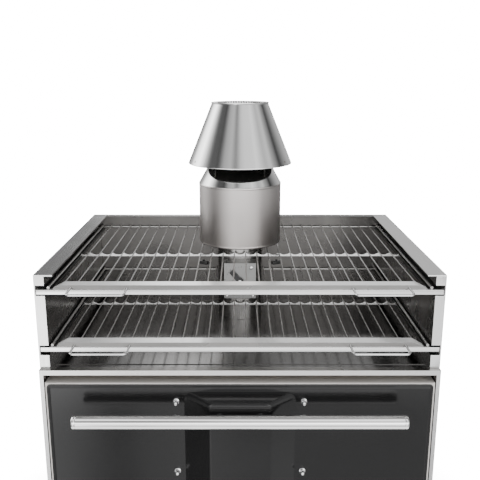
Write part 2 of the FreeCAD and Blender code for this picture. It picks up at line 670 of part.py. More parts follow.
pin_hole = [cyl(hg_r + run_fit, (x, hg_y, hg_z), 40, "x") for x in (-450, 410)]
bush = [cut(box(a, b, yfc + skin, hg_y + 10, dr_b + skin, hg_z + 10), h) for a, b, h in
        ((-dr_half + skin, -dr_half + 19, pin_hole[0]), (dr_half - 19, dr_half - skin, pin_hole[1]))]
keep("door_tray", group(box(-dr_half, dr_half, yfc, yfc + skin, dr_b, dr_t),
                        box(-dr_half, dr_half, yfc + skin, dr_back, dr_t - skin, dr_t), box(-dr_half, dr_half, yfc + skin, dr_back, dr_b, dr_b + skin),
                        cut(box(-dr_half, -dr_half + skin, yfc + skin, dr_back, dr_b + skin, dr_t - skin), cyl(hg_r + run_fit, (-450, hg_y, hg_z), 40, "x")),
                        cut(box(dr_half - skin, dr_half, yfc + skin, dr_back, dr_b + skin, dr_t - skin), cyl(hg_r + run_fit, (410, hg_y, hg_z), 40, "x")), *bush))

keep("door_inner_plate", prism("XZ_Plane", [[(-pn_half + 6, pn_b + 6), (pn_half - 6, pn_b + 6), (pn_half - 6, pn_t - 6), (-pn_half + 6, pn_t - 6)]], dr_back - 3.5, 2))
keep("door_insulation", box(-404, 404, yfc + 2, dr_back - 4, dr_b + 3, dr_t - 3))

seal_o = prism("XZ_Plane", [[(-372, 252), (372, 252), (372, 656), (-372, 656)]], dr_back - 1.5, 1.1)
rounded(seal_o, 16, along("y"))
seal_i = prism("XZ_Plane", [[(-360, 264), (360, 264), (360, 644), (-360, 644)]], dr_back - 6, 12)
keep("door_seal", cut(seal_o, seal_i))

# raised spine: a hipped pressing with its wide side on the door panel
def spine_block(inset, front_cut, back_extra):
    o = doc.addObject("Part::Wedge", _name("Spine"))
    base_y = yfc - pn_thk
    vals = {"Xmin": -sp_wide + inset, "Xmax": sp_wide - inset, "X2min": -sp_face + inset, "X2max": sp_face - inset,
            "Zmin": sp_b + inset, "Zmax": sp_t - inset, "Z2min": sp_b + 10 + inset, "Z2max": sp_t - 10 - inset,
            "Ymin": q(0) - back_extra, "Ymax": sp_proj - front_cut}
    for k, s in vals.items():
        setattr(o, k, q(s).v)
        bind(o, k, s)
    # the wedge tapers along its own +Y; half a turn about Z faces the taper forward
    o.Placement = Placement(Vector(0, base_y.v, 0), Rotation(Vector(0, 0, 1), 180))
    bind(o, "Placement.Base.y", base_y)
    return o


keep("door_spine", minus(spine_block(0, 0, 0), spine_block(2, 1.5, 0.01)))

tube = cut(cyl(hn_r, (-hn_half, hn_y, hn_z), 2 * hn_half, "x"), cyl(hn_r - 2, (-hn_half - 5, hn_y, hn_z), 2 * hn_half + 10, "x"))


def end_cap(side):
    b = body_of()
    sk = sketch(b, "XZ_Plane", [[(0, -6), (hn_r - 2, -6), (hn_r - 2, 0), (hn_r, 0), (hn_r, 1), (hn_r - 1.6, 2.8), (hn_r - 5, 3.6), (0, 4)]])
    r = b.newObject("PartDesign::Revolution", _name("Cap"))
    r.Profile = sk
    r.ReferenceAxis = (sk, ["V_Axis"])
    r.Angle = 360
    doc.recompute()
    b.Placement = Placement(Vector(side * hn_half.v, hn_y.v, hn_z.v), Rotation(Vector(0, 1, 0), 90 * side))
    return b


keep("door_handle", fuse(tube, end_cap(-1), end_cap(1)))
stand = [cut(cyl(8, (x, hn_y + 10, hn_z), 9, "y"), cyl(hn_r, (-100, hn_y, hn_z), 200, "x")) for x in (-45, 45)]
keep("handle_mounts", group(*stand))


def cap_nut(x, z):
    b = body_of()
    sk = sketch(b, "XZ_Plane", [[(0, 0), (7, 0), (7, 1.2), (5.2, 1.4), (5.2, 9.5), (4.8, 11.4), (3.6, 13.2), (1.8, 14.3), (0, 14.6)]])
    r = b.newObject("PartDesign::Revolution", _name("Nut"))
    r.Profile = sk
    r.ReferenceAxis = (sk, ["V_Axis"])
    r.Angle = 360
    doc.recompute()
    b.Placement = Placement(Vector(x.v, (yfc - pn_thk).v, z.v), Rotation(Vector(1, 0, 0), 90))
    for axis, s in (("x", x), ("y", yfc - pn_thk), ("z", z)):
        bind(b, "Placement.Base." + axis, s)
    return b


keep("door_cap_nuts", group(*[cap_nut(s * nut_x, nut_z1 - k * nut_gap) for s in (-1, 1) for k in (0, 1, 2)]))

sp_front = yfc - pn_thk - sp_proj


def front_turned(loop, z):
    """A profile in (radius, reach towards the front) turned round a front-to-back axis at height z on the spine face."""
    b = body_of()
    sk = sketch(b, "XZ_Plane", [loop])
    r = b.newObject("PartDesign::Revolution", _name("Dial"))
    r.Profile = sk
    r.ReferenceAxis = (sk, ["V_Axis"])
    r.Angle = 360
    doc.recompute()
    b.Placement = Placement(Vector(0, sp_front.v, z.v), Rotation(Vector(1, 0, 0), 90))
    bind(b, "Placement.Base.y", sp_front)
    bind(b, "Placement.Base.z", z)
    return b


keep("thermometer_case", front_turned([(0, 0), (th_r, 0), (th_r, 10), (th_r - 1.5, 12), (th_r - 4, 12), (th_r - 4, 4), (2.4, 4), (2.4, 6.6), (1.2, 6.6), (1.2, 9), (0, 9)], th_z))
needle = cut(fuse(box(-1.2, 1.2, -8.2, -7.2, -9, 22), cyl(3.2, (0, -8.6, 0), 1.6, "y")), cyl(1.25, (0, -12, 0), 10, "y"))
needle.Placement = Placement(Vector(0, sp_front.v, th_z.v), Rotation(Vector(0, 1, 0), -120))
keep("thermometer_needle", needle)

keep("hinge_pins", group(cyl(hg_r, (-half_w, hg_y, hg_z), 28, "x"), cyl(hg_r, (half_w - 28, hg_y, hg_z), 28, "x")))

# ---- ash drawer ---------------------------------------------------------
front = prism("XZ_Plane", [[(-dw_half - 14, dw_b - 6), (dw_half + 14, dw_b - 6), (dw_half + 14, dw_t + 7), (-dw_half - 14, dw_t + 7)]], yfc - 2, 3)
rounded(front, 5, along("y"))
keep("ash_drawer", group(front, box(-dw_half, dw_half, yfc + 1, dw_back, dw_b, dw_b + skin),
                         box(-dw_half, -dw_half + skin, yfc + 1, dw_back, dw_b + skin, dw_t), box(dw_half - skin, dw_half, yfc + 1, dw_back, dw_b + skin, dw_t),
                         box(-dw_half + skin, dw_half - skin, dw_back - skin, dw_back, dw_b + skin, dw_t)))


def bar_pull():
    z, y0, y1, r, x, bend = 149.5, yfc.v - 1.5, yfc.v - 30, 5.0, 80.0, 14.0
    s = math.sqrt(0.5)
    p = [Vector(-x, y0, z), Vector(-x, y1 + bend, z), Vector(-x + bend * (1 - s), y1 + bend * (1 - s), z), Vector(-x + bend, y1, z),
         Vector(x - bend, y1, z), Vector(x - bend * (1 - s), y1 + bend * (1 - s), z), Vector(x, y1 + bend, z), Vector(x, y0, z)]
    path = Part.Wire([Part.LineSegment(p[0], p[1]).toShape(), Part.Arc(p[1], p[2], p[3]).toShape(), Part.LineSegment(p[3], p[4]).toShape(),
                      Part.Arc(p[4], p[5], p[6]).toShape(), Part.LineSegment(p[6], p[7]).toShape()])
    o = doc.addObject("Part::Feature", _name("Pull"))
    o.Shape = path.makePipeShell([Part.Wire([Part.makeCircle(r, p[0], Vector(0, 1, 0))])], True, True)
    return o


keep("ash_drawer_handle", bar_pull())

# ---- check and write ----------------------------------------------------
doc.recompute()
bad = [o.Name + ":" + ",".join(o.State) for o in doc.Objects if "Invalid" in o.State or "Error" in o.State]
if bad:
    raise SystemExit("failed objects: " + ", ".join(bad))
for label, o in NODES.items():
    if o.Shape.isNull() or not o.Shape.isValid():
        raise SystemExit("bad shape: " + label)
    if not o.Shape.Solids:
        raise SystemExit("no solid: " + label)
for old in os.listdir("parts"):
    if old.endswith(".step"):
        os.remove(os.path.join("parts", old))
for label, o in NODES.items():
    o.Shape.exportStep("parts/" + label + ".step")
    print("%-24s solids %2d  volume %9.1f cm3" % (label, len(o.Shape.Solids), o.Shape.Volume / 1000))
print(len(NODES), "nodes")
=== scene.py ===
import bpy
import bmesh
import math
from mathutils import Matrix, Vector

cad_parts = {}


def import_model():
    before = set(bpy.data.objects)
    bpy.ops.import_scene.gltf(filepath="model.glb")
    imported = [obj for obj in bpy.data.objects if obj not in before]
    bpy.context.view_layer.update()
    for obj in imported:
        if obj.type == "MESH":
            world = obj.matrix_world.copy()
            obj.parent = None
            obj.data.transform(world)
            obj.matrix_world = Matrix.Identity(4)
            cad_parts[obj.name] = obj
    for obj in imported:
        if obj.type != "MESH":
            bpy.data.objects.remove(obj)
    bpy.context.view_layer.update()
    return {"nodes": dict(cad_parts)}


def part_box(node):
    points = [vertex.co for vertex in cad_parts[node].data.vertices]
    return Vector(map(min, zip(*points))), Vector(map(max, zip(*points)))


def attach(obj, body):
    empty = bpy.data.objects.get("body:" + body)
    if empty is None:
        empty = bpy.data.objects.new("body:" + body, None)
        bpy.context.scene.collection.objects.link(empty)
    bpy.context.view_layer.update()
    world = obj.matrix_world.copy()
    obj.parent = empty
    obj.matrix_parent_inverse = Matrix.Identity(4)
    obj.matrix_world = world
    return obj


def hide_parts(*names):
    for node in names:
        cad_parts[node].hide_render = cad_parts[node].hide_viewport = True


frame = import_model()
NODES = frame["nodes"]
scene = bpy.context.scene
pi = math.pi

# ---------------------------------------------------------------- materials


class Tree:
    """A small helper round a material's node tree."""

    def __init__(self, name):
        self.mat = bpy.data.materials.new(name)
        self.mat.use_nodes = True
        self.nt = self.mat.node_tree
        self.nt.nodes.clear()
        self.out = self.nt.nodes.new("ShaderNodeOutputMaterial")
        self.bsdf = self.nt.nodes.new("ShaderNodeBsdfPrincipled")
        self.link(self.bsdf.outputs[0], self.out.inputs[0])
        self.co = self.nt.nodes.new("ShaderNodeTexCoord")

    def link(self, a, b):
        self.nt.links.new(a, b)

    def put(self, socket, value):
        if isinstance(value, (int, float)):
            socket.default_value = value
        elif isinstance(value, (tuple, list)):
            socket.default_value = tuple(value) + ((1.0,) if len(value) == 3 and len(socket.default_value) == 4 else ())
        else:
            self.link(value, socket)

    def set(self, name, value):
        self.put(self.bsdf.inputs[name], value)

    def mapping(self, scale, source=None, loc=(0, 0, 0), rot=(0, 0, 0)):
        m = self.nt.nodes.new("ShaderNodeMapping")
        m.inputs["Scale"].default_value = scale
        m.inputs["Location"].default_value = loc
        m.inputs["Rotation"].default_value = rot
        self.link(source or self.co.outputs["Object"], m.inputs["Vector"])
        return m.outputs[0]

    def noise(self, scale, source=None, detail=3.0, rough=0.5, distortion=0.0):
        n = self.nt.nodes.new("ShaderNodeTexNoise")
        n.inputs["Scale"].default_value = scale
        n.inputs["Detail"].default_value = detail
        n.inputs["Roughness"].default_value = rough
        n.inputs["Distortion"].default_value = distortion
        self.link(source or self.co.outputs["Object"], n.inputs["Vector"])
        return n.outputs["Fac"]

    def range(self, v, a, b, c, d, smooth=False):
        m = self.nt.nodes.new("ShaderNodeMapRange")
        if smooth:
            m.interpolation_type = "SMOOTHSTEP"
        self.link(v, m.inputs["Value"])
        for k, x in zip(("From Min", "From Max", "To Min", "To Max"), (a, b, c, d)):
            m.inputs[k].default_value = x
        return m.outputs["Result"]

    def math(self, op, a, b=0.0, c=None, clamp=False):
        m = self.nt.nodes.new("ShaderNodeMath")
        m.operation = op
        m.use_clamp = clamp
        self.put(m.inputs[0], a)
        self.put(m.inputs[1], b)
        if c is not None:
            self.put(m.inputs[2], c)
        return m.outputs[0]

    def mix(self, fac, a, b, blend="MIX"):
        m = self.nt.nodes.new("ShaderNodeMix")
        m.data_type = "RGBA"
        m.blend_type = blend
        self.put(m.inputs["Factor"], fac)
        self.put(m.inputs["A"], a)
        self.put(m.inputs["B"], b)
        return m.outputs["Result"]

    def mixf(self, fac, a, b):
        m = self.nt.nodes.new("ShaderNodeMix")
        m.data_type = "FLOAT"
        self.put(m.inputs["Factor"], fac)
        self.put(m.inputs["A"], a)
        self.put(m.inputs["B"], b)
        return m.outputs["Result"]

    def ramp(self, v, stops):
        r = self.nt.nodes.new("ShaderNodeValToRGB")
        e = r.color_ramp.elements
        while len(e) > 1:
            e.remove(e[0])
        e[0].position = stops[0][0]
        e[0].color = tuple(stops[0][1]) + (1,)
        for p, c in stops[1:]:
            x = e.new(p)
            x.color = tuple(c) + (1,)
        self.link(v, r.inputs[0])
        return r.outputs[0]

    def split(self, v):
        s = self.nt.nodes.new("ShaderNodeSeparateXYZ")
        self.link(v, s.inputs[0])
        return s.outputs

    def bump(self, height, strength, distance=0.001, normal=None):
        b = self.nt.nodes.new("ShaderNodeBump")
        b.inputs["Strength"].default_value = strength
        b.inputs["Distance"].default_value = distance
        self.link(height, b.inputs["Height"])
        if normal is not None:
            self.link(normal, b.inputs["Normal"])
        return b.outputs[0]


GRAIN = {"x": (6, 1500, 1500), "y": (1500, 6, 1500), "z": (1500, 1500, 6)}


def steel(name, color, rough, face="x", other="y", grain=0.10, smudge=0.08, bump=0.06, inside=None, heat=None, tone=0.34, metallic=1.0):
    """Brushed sheet. The grain runs along one axis on front and back faces and along another elsewhere."""
    t = Tree(name)
    g1 = t.noise(1.0, t.mapping(GRAIN[face]), 2.0)
    if other != face:
        g2 = t.noise(1.0, t.mapping(GRAIN[other]), 2.0)
        ny = t.math("ABSOLUTE", t.split(t.co.outputs["Normal"])[1])
        g = t.mixf(t.range(ny, 0.45, 0.55, 0, 1), g2, g1)
    else:
        g = g1
    s = t.noise(5.0, None, 4.0, 0.6, 0.4)
    f = t.noise(38.0, None, 5.0, 0.65)
    lo = [c * 0.88 for c in color]
    hi = [min(1.0, c * 1.06) for c in color]
    base = t.mix(t.math("ADD", t.math("MULTIPLY", g, 0.65), t.math("MULTIPLY", s, 0.35)), lo, hi)
    base = t.mix(t.range(f, 0.64, 0.82, 0.0, 0.10), base, [c * 0.7 for c in color])
    r = t.math("ADD", t.range(g, 0.25, 0.75, rough - grain, rough + grain), t.range(s, 0.35, 0.70, -smudge, smudge))
    # painted shade: on the faces the inside mask picks, the colour drops to tone times the sheet's colour, a little
    # lighter where the smudge noise is high
    if inside is not None:
        m = inside(t)
        painted_shade = [color[0] * tone, color[1] * tone * 0.98, color[2] * tone * 0.96]
        base = t.mix(m, base, t.mix(t.range(s, 0.35, 0.65, 0, 1), painted_shade, [c * 1.5 for c in painted_shade]))
        r = t.mixf(m, r, t.range(s, 0.3, 0.7, 0.20, 0.34))
    if heat is not None:
        lo_z, hi_z, amount = heat
        z = t.split(t.co.outputs["Object"])[2]
        k = t.math("MULTIPLY", t.range(z, lo_z, hi_z, 0, 1, True), t.range(s, 0.3, 0.7, 0.5 * amount, amount))
        base = t.mix(k, base, (0.24, 0.178, 0.128))
    t.set("Base Color", base)
    t.set("Metallic", metallic)
    t.set("Roughness", t.math("MAXIMUM", r, 0.05))
    t.set("Normal", t.bump(g, bump, 0.0004))
    return t.mat


def turned_steel(name, color, rough, centre, grain=0.05, smudge=0.05, bump=0.05, along="z", bottom_shade=None):
    """Polished or brushed metal with its grain running round a vertical axis (or up it)."""
    t = Tree(name)
    v = t.mapping((1, 1, 1), loc=(-centre[0], -centre[1], 0))
    x, y, z = t.split(v)
    ang = t.math("ARCTAN2", y, x)
    rad = t.math("SQRT", t.math("ADD", t.math("MULTIPLY", x, x), t.math("MULTIPLY", y, y)))
    comb = t.nt.nodes.new("ShaderNodeCombineXYZ")
    if along == "round":
        t.link(t.math("MULTIPLY", ang, 1.2), comb.inputs[0])
        t.link(t.math("MULTIPLY", rad, 900.0), comb.inputs[1])
        t.link(t.math("MULTIPLY", z, 900.0), comb.inputs[2])
    else:
        t.link(t.math("MULTIPLY", ang, 90.0), comb.inputs[0])
        t.link(t.math("MULTIPLY", z, 5.0), comb.inputs[2])
    g = t.noise(1.0, comb.outputs[0], 2.0)
    s = t.noise(7.0, None, 4.0, 0.6, 0.3)
    f = t.noise(60.0, None, 4.0, 0.7)
    base = t.mix(t.math("ADD", t.math("MULTIPLY", g, 0.5), t.math("MULTIPLY", s, 0.5)), [c * 0.88 for c in color], [min(1, c * 1.06) for c in color])
    base = t.mix(t.range(f, 0.64, 0.82, 0.0, 0.15), base, [c * 0.6 for c in color])
    # painted shade: the colour darkens towards the bottom, by the given factors, below the upper height
    if bottom_shade is not None:
        lo_z, hi_z, k = bottom_shade
        base = t.mix(t.range(z, lo_z, hi_z, 1, 0), base, [c * m for c, m in zip(color, k)])
    t.set("Base Color", base)
    t.set("Metallic", 1.0)
    t.set("Roughness", t.math("MAXIMUM", t.math("ADD", t.range(g, 0.25, 0.75, rough - grain, rough + grain), t.range(s, 0.35, 0.7, -smudge, smudge)), 0.03))
    t.set("Normal", t.bump(g, bump, 0.0003))
    return t.mat


def plain(name, color, rough, metallic=0.0, scale=60.0, vary=0.25, rvary=0.1, bump=0.1, dist=0.0005, coat=0.0, second=None):
    t = Tree(name)
    a = t.noise(scale, None, 5.0, 0.6)
    b = t.noise(scale * 0.12, None, 3.0, 0.55, 0.3)
    base = t.mix(a, [c * (1 - vary) for c in color], [min(1, c * (1 + vary)) for c in color])
    if second is not None:
        base = t.mix(t.range(b, 0.5, 0.68, 0, 0.8), base, second)
    t.set("Base Color", base)
    t.set("Metallic", metallic)
    t.set("Roughness", t.math("ADD", t.range(a, 0.3, 0.7, rough - rvary, rough + rvary), t.range(b, 0.3, 0.7, -rvary * 0.5, rvary * 0.5), clamp=True))
    t.set("Normal", t.bump(a, bump, dist))
    if coat:
        t.set("Coat Weight", coat)
        t.set("Coat Roughness", 0.06)
    return t.mat


# painted shade mask: the inner faces of the housing side walls, between the racks
def inner_wall_shade(t):
    x, y, z = t.split(t.co.outputs["Object"])
    ax = t.math("ABSOLUTE", x)
    m = t.math("LESS_THAN", ax, 0.4182)
    n = t.math("ABSOLUTE", t.split(t.co.outputs["Normal"])[0])
    return t.math("MULTIPLY", m, t.range(n, 0.4, 0.6, 0, 1))


# painted shade mask: the faces that look upwards
def top_face_shade(t):
    return t.range(t.split(t.co.outputs["Normal"])[2], 0.6, 0.8, 0, 1)


# painted shade mask: the sloping faces, turned part way up, between the top and the front
def slope_face_shade(t):
    nz = t.split(t.co.outputs["Normal"])[2]
    return t.math("MULTIPLY", t.range(nz, 0.42, 0.58, 0, 1), t.range(nz, 0.86, 0.94, 1, 0))


# painted shade mask: the back wall's front faces inside the housing, behind the racks
def back_inner_shade(t):
    y = t.split(t.co.outputs["Object"])[1]
    return t.math("LESS_THAN", y, 0.330)


def rim_metal():
    """The door's pressed tray: bead-blasted steel, softer than the brushed parts."""
    t = Tree("door_rim_steel")
    n = t.noise(400.0, None, 3.0, 0.6)
    s = t.noise(9.0, None, 4.0, 0.6)
    t.set("Base Color", t.mix(s, (0.50, 0.475, 0.45), (0.62, 0.60, 0.58)))
    t.set("Metallic", 0.55)
    t.set("Roughness", t.range(n, 0.3, 0.7, 0.42, 0.56))
    t.set("Normal", t.bump(n, 0.05, 0.0002))
    return t.mat


M = {}
# the housing walls' inner faces are darkened as painted shade
M["wall"] = steel("housing_steel", (0.84, 0.838, 0.835), 0.22, "z", "y", grain=0.06, smudge=0.03, inside=inner_wall_shade)
# the back wall's inner face is darkened strongly as painted shade
M["back"] = steel("housing_back_steel", (0.66, 0.65, 0.64), 0.30, "x", "x", inside=back_inner_shade, tone=0.17)
M["cabinet"] = steel("cabinet_steel", (0.66, 0.655, 0.645), 0.30, "x", "y", grain=0.06, smudge=0.03)
# the front frame's upward faces are darkened as painted shade
M["frame"] = steel("frame_steel", (0.76, 0.755, 0.75), 0.24, "x", "x", grain=0.06, smudge=0.03, inside=top_face_shade)
M["floor_plate"] = steel("housing_floor_steel", (0.235, 0.231, 0.228), 0.17, "x", "x", grain=0.05, smudge=0.06)
# the sloping faces of the rack front bars and noses are darkened as painted shade
M["rack_bar"] = steel("rack_bar_steel", (0.82, 0.82, 0.815), 0.16, "x", "x", grain=0.05, smudge=0.03, inside=slope_face_shade, tone=0.21)
M["rack_nose"] = steel("rack_nose_steel", (0.94, 0.94, 0.935), 0.19, "x", "x", grain=0.04, smudge=0.03, inside=slope_face_shade, tone=0.18, metallic=0.62)
M["wire"] = steel("wire_steel", (0.45, 0.445, 0.435), 0.28, "y", "y", grain=0.08)
M["crossbar"] = steel("crossbar_steel", (0.80, 0.80, 0.79), 0.24, "x", "x")
M["dark_steel"] = steel("dark_steel", (0.10, 0.098, 0.095), 0.36, "y", "y")
M["chamber"] = steel("chamber_steel", (0.20, 0.18, 0.163), 0.42, "x", "y", smudge=0.14, heat=(0.35, 0.66, 0.40))
M["flue"] = turned_steel("flue_steel", (0.45, 0.44, 0.43), 0.26, (0, 0.08), along="z")
M["plate"] = steel("damper_plate_steel", (0.27, 0.27, 0.266), 0.36, "z", "y", grain=0.12)
# the barrel is darkened towards its bottom as painted shade, lighter towards the top
M["barrel"] = turned_steel("arrestor_barrel_steel", (0.54, 0.513, 0.50), 0.34, (0, 0.08), grain=0.02, smudge=0.02, along="round", bump=0.012,
                           bottom_shade=(0.905, 1.050, (0.72, 0.71, 0.70)))
M["cone"] = turned_steel("cone_steel", (0.76, 0.76, 0.755), 0.09, (0, 0.08), grain=0.03, smudge=0.02, along="z", bump=0.02)
M["hat"] = turned_steel("hat_steel", (0.78, 0.78, 0.778), 0.13, (0, 0.08), grain=0.03, smudge=0.02, along="z", bump=0.05)
M["soot"] = plain("soot", (0.012, 0.011, 0.010), 0.75, 0.0, 40.0, 0.5, 0.15, 0.3, 0.0008, second=(0.03, 0.027, 0.024))
M["handle"] = steel("handle_steel", (0.90, 0.895, 0.89), 0.13, "x", "x", grain=0.04, smudge=0.02, bump=0.02)
M["pull"] = steel("pull_steel", (0.80, 0.80, 0.80), 0.15, "x", "x", grain=0.04, smudge=0.03)
M["nut"] = plain("nut_steel", (0.74, 0.74, 0.74), 0.18, 1.0, 300.0, 0.08, 0.06, 0.04, 0.0002)
M["rim"] = rim_metal()
M["cast"] = plain("cast_iron", (0.055, 0.052, 0.050), 0.62, 0.8, 220.0, 0.35, 0.12, 0.6, 0.0006, second=(0.10, 0.06, 0.04))
M["wool"] = plain("mineral_wool", (0.58, 0.55, 0.40), 0.95, 0.0, 160.0, 0.3, 0.03, 0.9, 0.003)
M["rope"] = plain("seal_rope", (0.16, 0.155, 0.15), 0.95, 0.0, 500.0, 0.5, 0.03, 0.8, 0.001)
M["nylon"] = plain("foot_nylon", (0.022, 0.022, 0.023), 0.5, 0.0, 350.0, 0.2, 0.08, 0.15, 0.0003)
M["needle"] = plain("needle_paint", (0.55, 0.03, 0.02), 0.35, 0.0, 200.0, 0.12, 0.06, 0.03)
M["dial"] = plain("dial_paint", (0.82, 0.82, 0.79), 0.45, 0.0, 90.0, 0.04, 0.06, 0.02)
M["ink"] = plain("dial_ink", (0.015, 0.015, 0.016), 0.5, 0.0, 300.0, 0.2, 0.05, 0.02)
M["lever"] = plain("lever_black", (0.012, 0.012, 0.012), 0.42, 0.0, 120.0, 0.3, 0.1, 0.15, 0.0003)


def enamel():
    t = Tree("black_enamel")
    a = t.noise(260.0, None, 3.0, 0.5)
    b = t.noise(4.0, None, 4.0, 0.55, 0.5)
    d = t.noise(900.0, None, 2.0, 0.6)
    base = t.mix(b, (0.0050, 0.0050, 0.0052), (0.0080, 0.0080, 0.0083))
    base = t.mix(t.range(d, 0.70, 0.80, 0.0, 0.30), base, (0.03, 0.03, 0.03))
    t.set("Base Color", base)
    t.set("Metallic", 0.0)
    t.set("Roughness", t.math("ADD", t.range(b, 0.3, 0.7, 0.12, 0.17), t.range(a, 0.3, 0.7, -0.02, 0.02)))
    t.bsdf.inputs["IOR"].default_value = 1.47
    t.set("Normal", t.bump(a, 0.03, 0.0003))
    return t.mat


def brick():
    t = Tree("firebrick")
    v = t.mapping((1, 1, 1))
    x, y, z = t.split(v)
    comb = t.nt.nodes.new("ShaderNodeCombineXYZ")
    t.link(t.math("ADD", x, y), comb.inputs[0])
    t.link(z, comb.inputs[1])
    b = t.nt.nodes.new("ShaderNodeTexBrick")
    b.inputs["Scale"].default_value = 1.0
    b.inputs["Brick Width"].default_value = 0.23
    b.inputs["Row Height"].default_value = 0.066
    b.inputs["Mortar Size"].default_value = 0.0016
    b.inputs["Color1"].default_value = (0.50, 0.36, 0.25, 1)
    b.inputs["Color2"].default_value = (0.60, 0.46, 0.33, 1)
    b.inputs["Mortar"].default_value = (0.20, 0.17, 0.15, 1)
    t.link(comb.outputs[0], b.inputs["Vector"])
    n = t.noise(90.0, None, 6.0, 0.7)
    s = t.noise(6.0, None, 3.0, 0.5)
    base = t.mix(t.range(n, 0.35, 0.7, 0.0, 0.5), b.outputs["Color"], (0.30, 0.23, 0.18))
    base = t.mix(t.range(s, 0.4, 0.7, 0.1, 0.75), base, (0.05, 0.043, 0.038))
    t.set("Base Color", base)
    t.set("Roughness", t.range(n, 0.3, 0.7, 0.8, 0.95))
    t.set("Normal", t.bump(t.math("SUBTRACT", t.math("MULTIPLY", n, 0.5), b.outputs["Fac"]), 0.7, 0.002))
    return t.mat


def glass():
    t = Tree("dial_glass")
    n = t.noise(30.0)
    t.set("Base Color", (0.95, 0.97, 0.97))
    t.set("Roughness", t.range(n, 0.3, 0.7, 0.02, 0.06))
    t.set("Transmission Weight", 1.0)
    t.set("IOR", 1.45)
    return t.mat


M["enamel"] = enamel()
M["brick"] = brick()
M["glass"] = glass()

NODE_MATERIAL = {
    "housing_left_wall": "wall", "housing_right_wall": "wall", "housing_back_wall": "back", "housing_floor": "floor_plate",
    "slide_channels": "dark_steel", "flue_pipe": "flue", "damper_box": "plate", "arrestor_body": "barrel", "arrestor_baffle": "chamber",
    "hat": "hat", "hat_struts": "wire", "hat_screen": "pull", "cabinet_left_side": "cabinet", "cabinet_right_side": "cabinet",
    "cabinet_rear_panel": "cabinet", "top_deck": "floor_plate", "base_panel": "cabinet", "front_frame": "frame", "bulkhead": "chamber",
    "lower_front_panel": "enamel", "chamber_side_walls": "chamber", "chamber_rear_wall": "chamber", "chamber_roof": "chamber",
    "chamber_floor": "chamber", "insulation": "wool", "firebricks": "brick", "charcoal_grate": "cast", "cooking_grid": "wire",
    "legs": "cabinet", "foot_pads": "nylon", "hinge_pins": "nut",
    "door_front_panel": "enamel", "door_tray": "rim", "door_inner_plate": "chamber", "door_insulation": "wool", "door_seal": "rope",
    "door_spine": "enamel", "door_handle": "handle", "handle_mounts": "pull", "door_cap_nuts": "nut", "thermometer_case": "nut",
    "thermometer_needle": "needle", "damper_disc": "dark_steel", "damper_spindle": "nut", "damper_lever": "lever",
    "ash_drawer": "enamel", "ash_drawer_handle": "pull", "air_shutter": "cabinet",
}
for stem in ("upper_rack", "lower_rack"):
    NODE_MATERIAL.update({stem + "_front_bar": "rack_bar", stem + "_nose": "rack_nose", stem + "_grid": "wire", stem + "_crossbar": "crossbar",
                          stem + "_runners": "dark_steel", stem + "_handles": "pull"})

BEVEL = {
    "housing_left_wall": 0.0010, "housing_right_wall": 0.0010, "housing_back_wall": 0.0010, "door_front_panel": 0.0014,
    "door_tray": 0.0006, "damper_box": 0.0008, "cabinet_left_side": 0.0005, "cabinet_right_side": 0.0005, "cabinet_rear_panel": 0.0005,
    "upper_rack_nose": 0.0008, "lower_rack_nose": 0.0008, "upper_rack_runners": 0.0006, "lower_rack_runners": 0.0006,
    "lower_front_panel": 0.0004, "air_shutter": 0.0003, "ash_drawer": 0.0005, "legs": 0.0012, "foot_pads": 0.0012, "charcoal_grate": 0.0015,
    "firebricks": 0.0015, "damper_lever": 0.0006, "upper_rack_crossbar": 0.0003, "lower_rack_crossbar": 0.0003, "thermometer_case": 0.0005,
}


def dress(name, obj):
    obj.data.materials.clear()
    obj.data.materials.append(M[NODE_MATERIAL[name]])
    weld = obj.modifiers.new("weld", "WELD")
    weld.merge_threshold = 0.000005
    if name in BEVEL:
        b = obj.modifiers.new("edge", "BEVEL")
        b.width = BEVEL[name]
        b.segments = 2
        b.limit_method = "ANGLE"
        b.angle_limit = math.radians(40)
        b.harden_normals = False
        b.use_clamp_overlap = True
    for p in obj.data.polygons:
        p.use_smooth = True
    s = obj.modifiers.new("normals", "WEIGHTED_NORMAL") if name in BEVEL else None
    if s is not None:
        s.keep_sharp = True
        s.weight = 80
    e = obj.modifiers.new("split", "EDGE_SPLIT")
    e.split_angle = math.radians(38)
    e.use_edge_sharp = False
    if s is not None:
        obj.modifiers.move(obj.modifiers.find("split"), obj.modifiers.find("normals"))


for name, obj in NODES.items():
    dress(name, obj)

# ---------------------------------------------------------------- mesh tools


def finish_mesh(name, bm, mats, body, smooth=True, replaces=(), split=38.0):
    me = bpy.data.meshes.new(name)
    bmesh.ops.recalc_face_normals(bm, faces=bm.faces[:]) if smooth is not None else None
    bm.to_mesh(me)
    bm.free()
    o = bpy.data.objects.new(name, me)
    scene.collection.objects.link(o)
    for m in mats if isinstance(mats, (list, tuple)) else [mats]:
        me.materials.append(m)
    if smooth:
        for p in me.polygons:
            p.use_smooth = len(p.vertices) <= 4
        e = o.modifiers.new("split", "EDGE_SPLIT")
        e.split_angle = math.radians(split)
        e.use_edge_sharp = False
    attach(o, body)
    if replaces:
        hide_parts(*replaces)
    return o


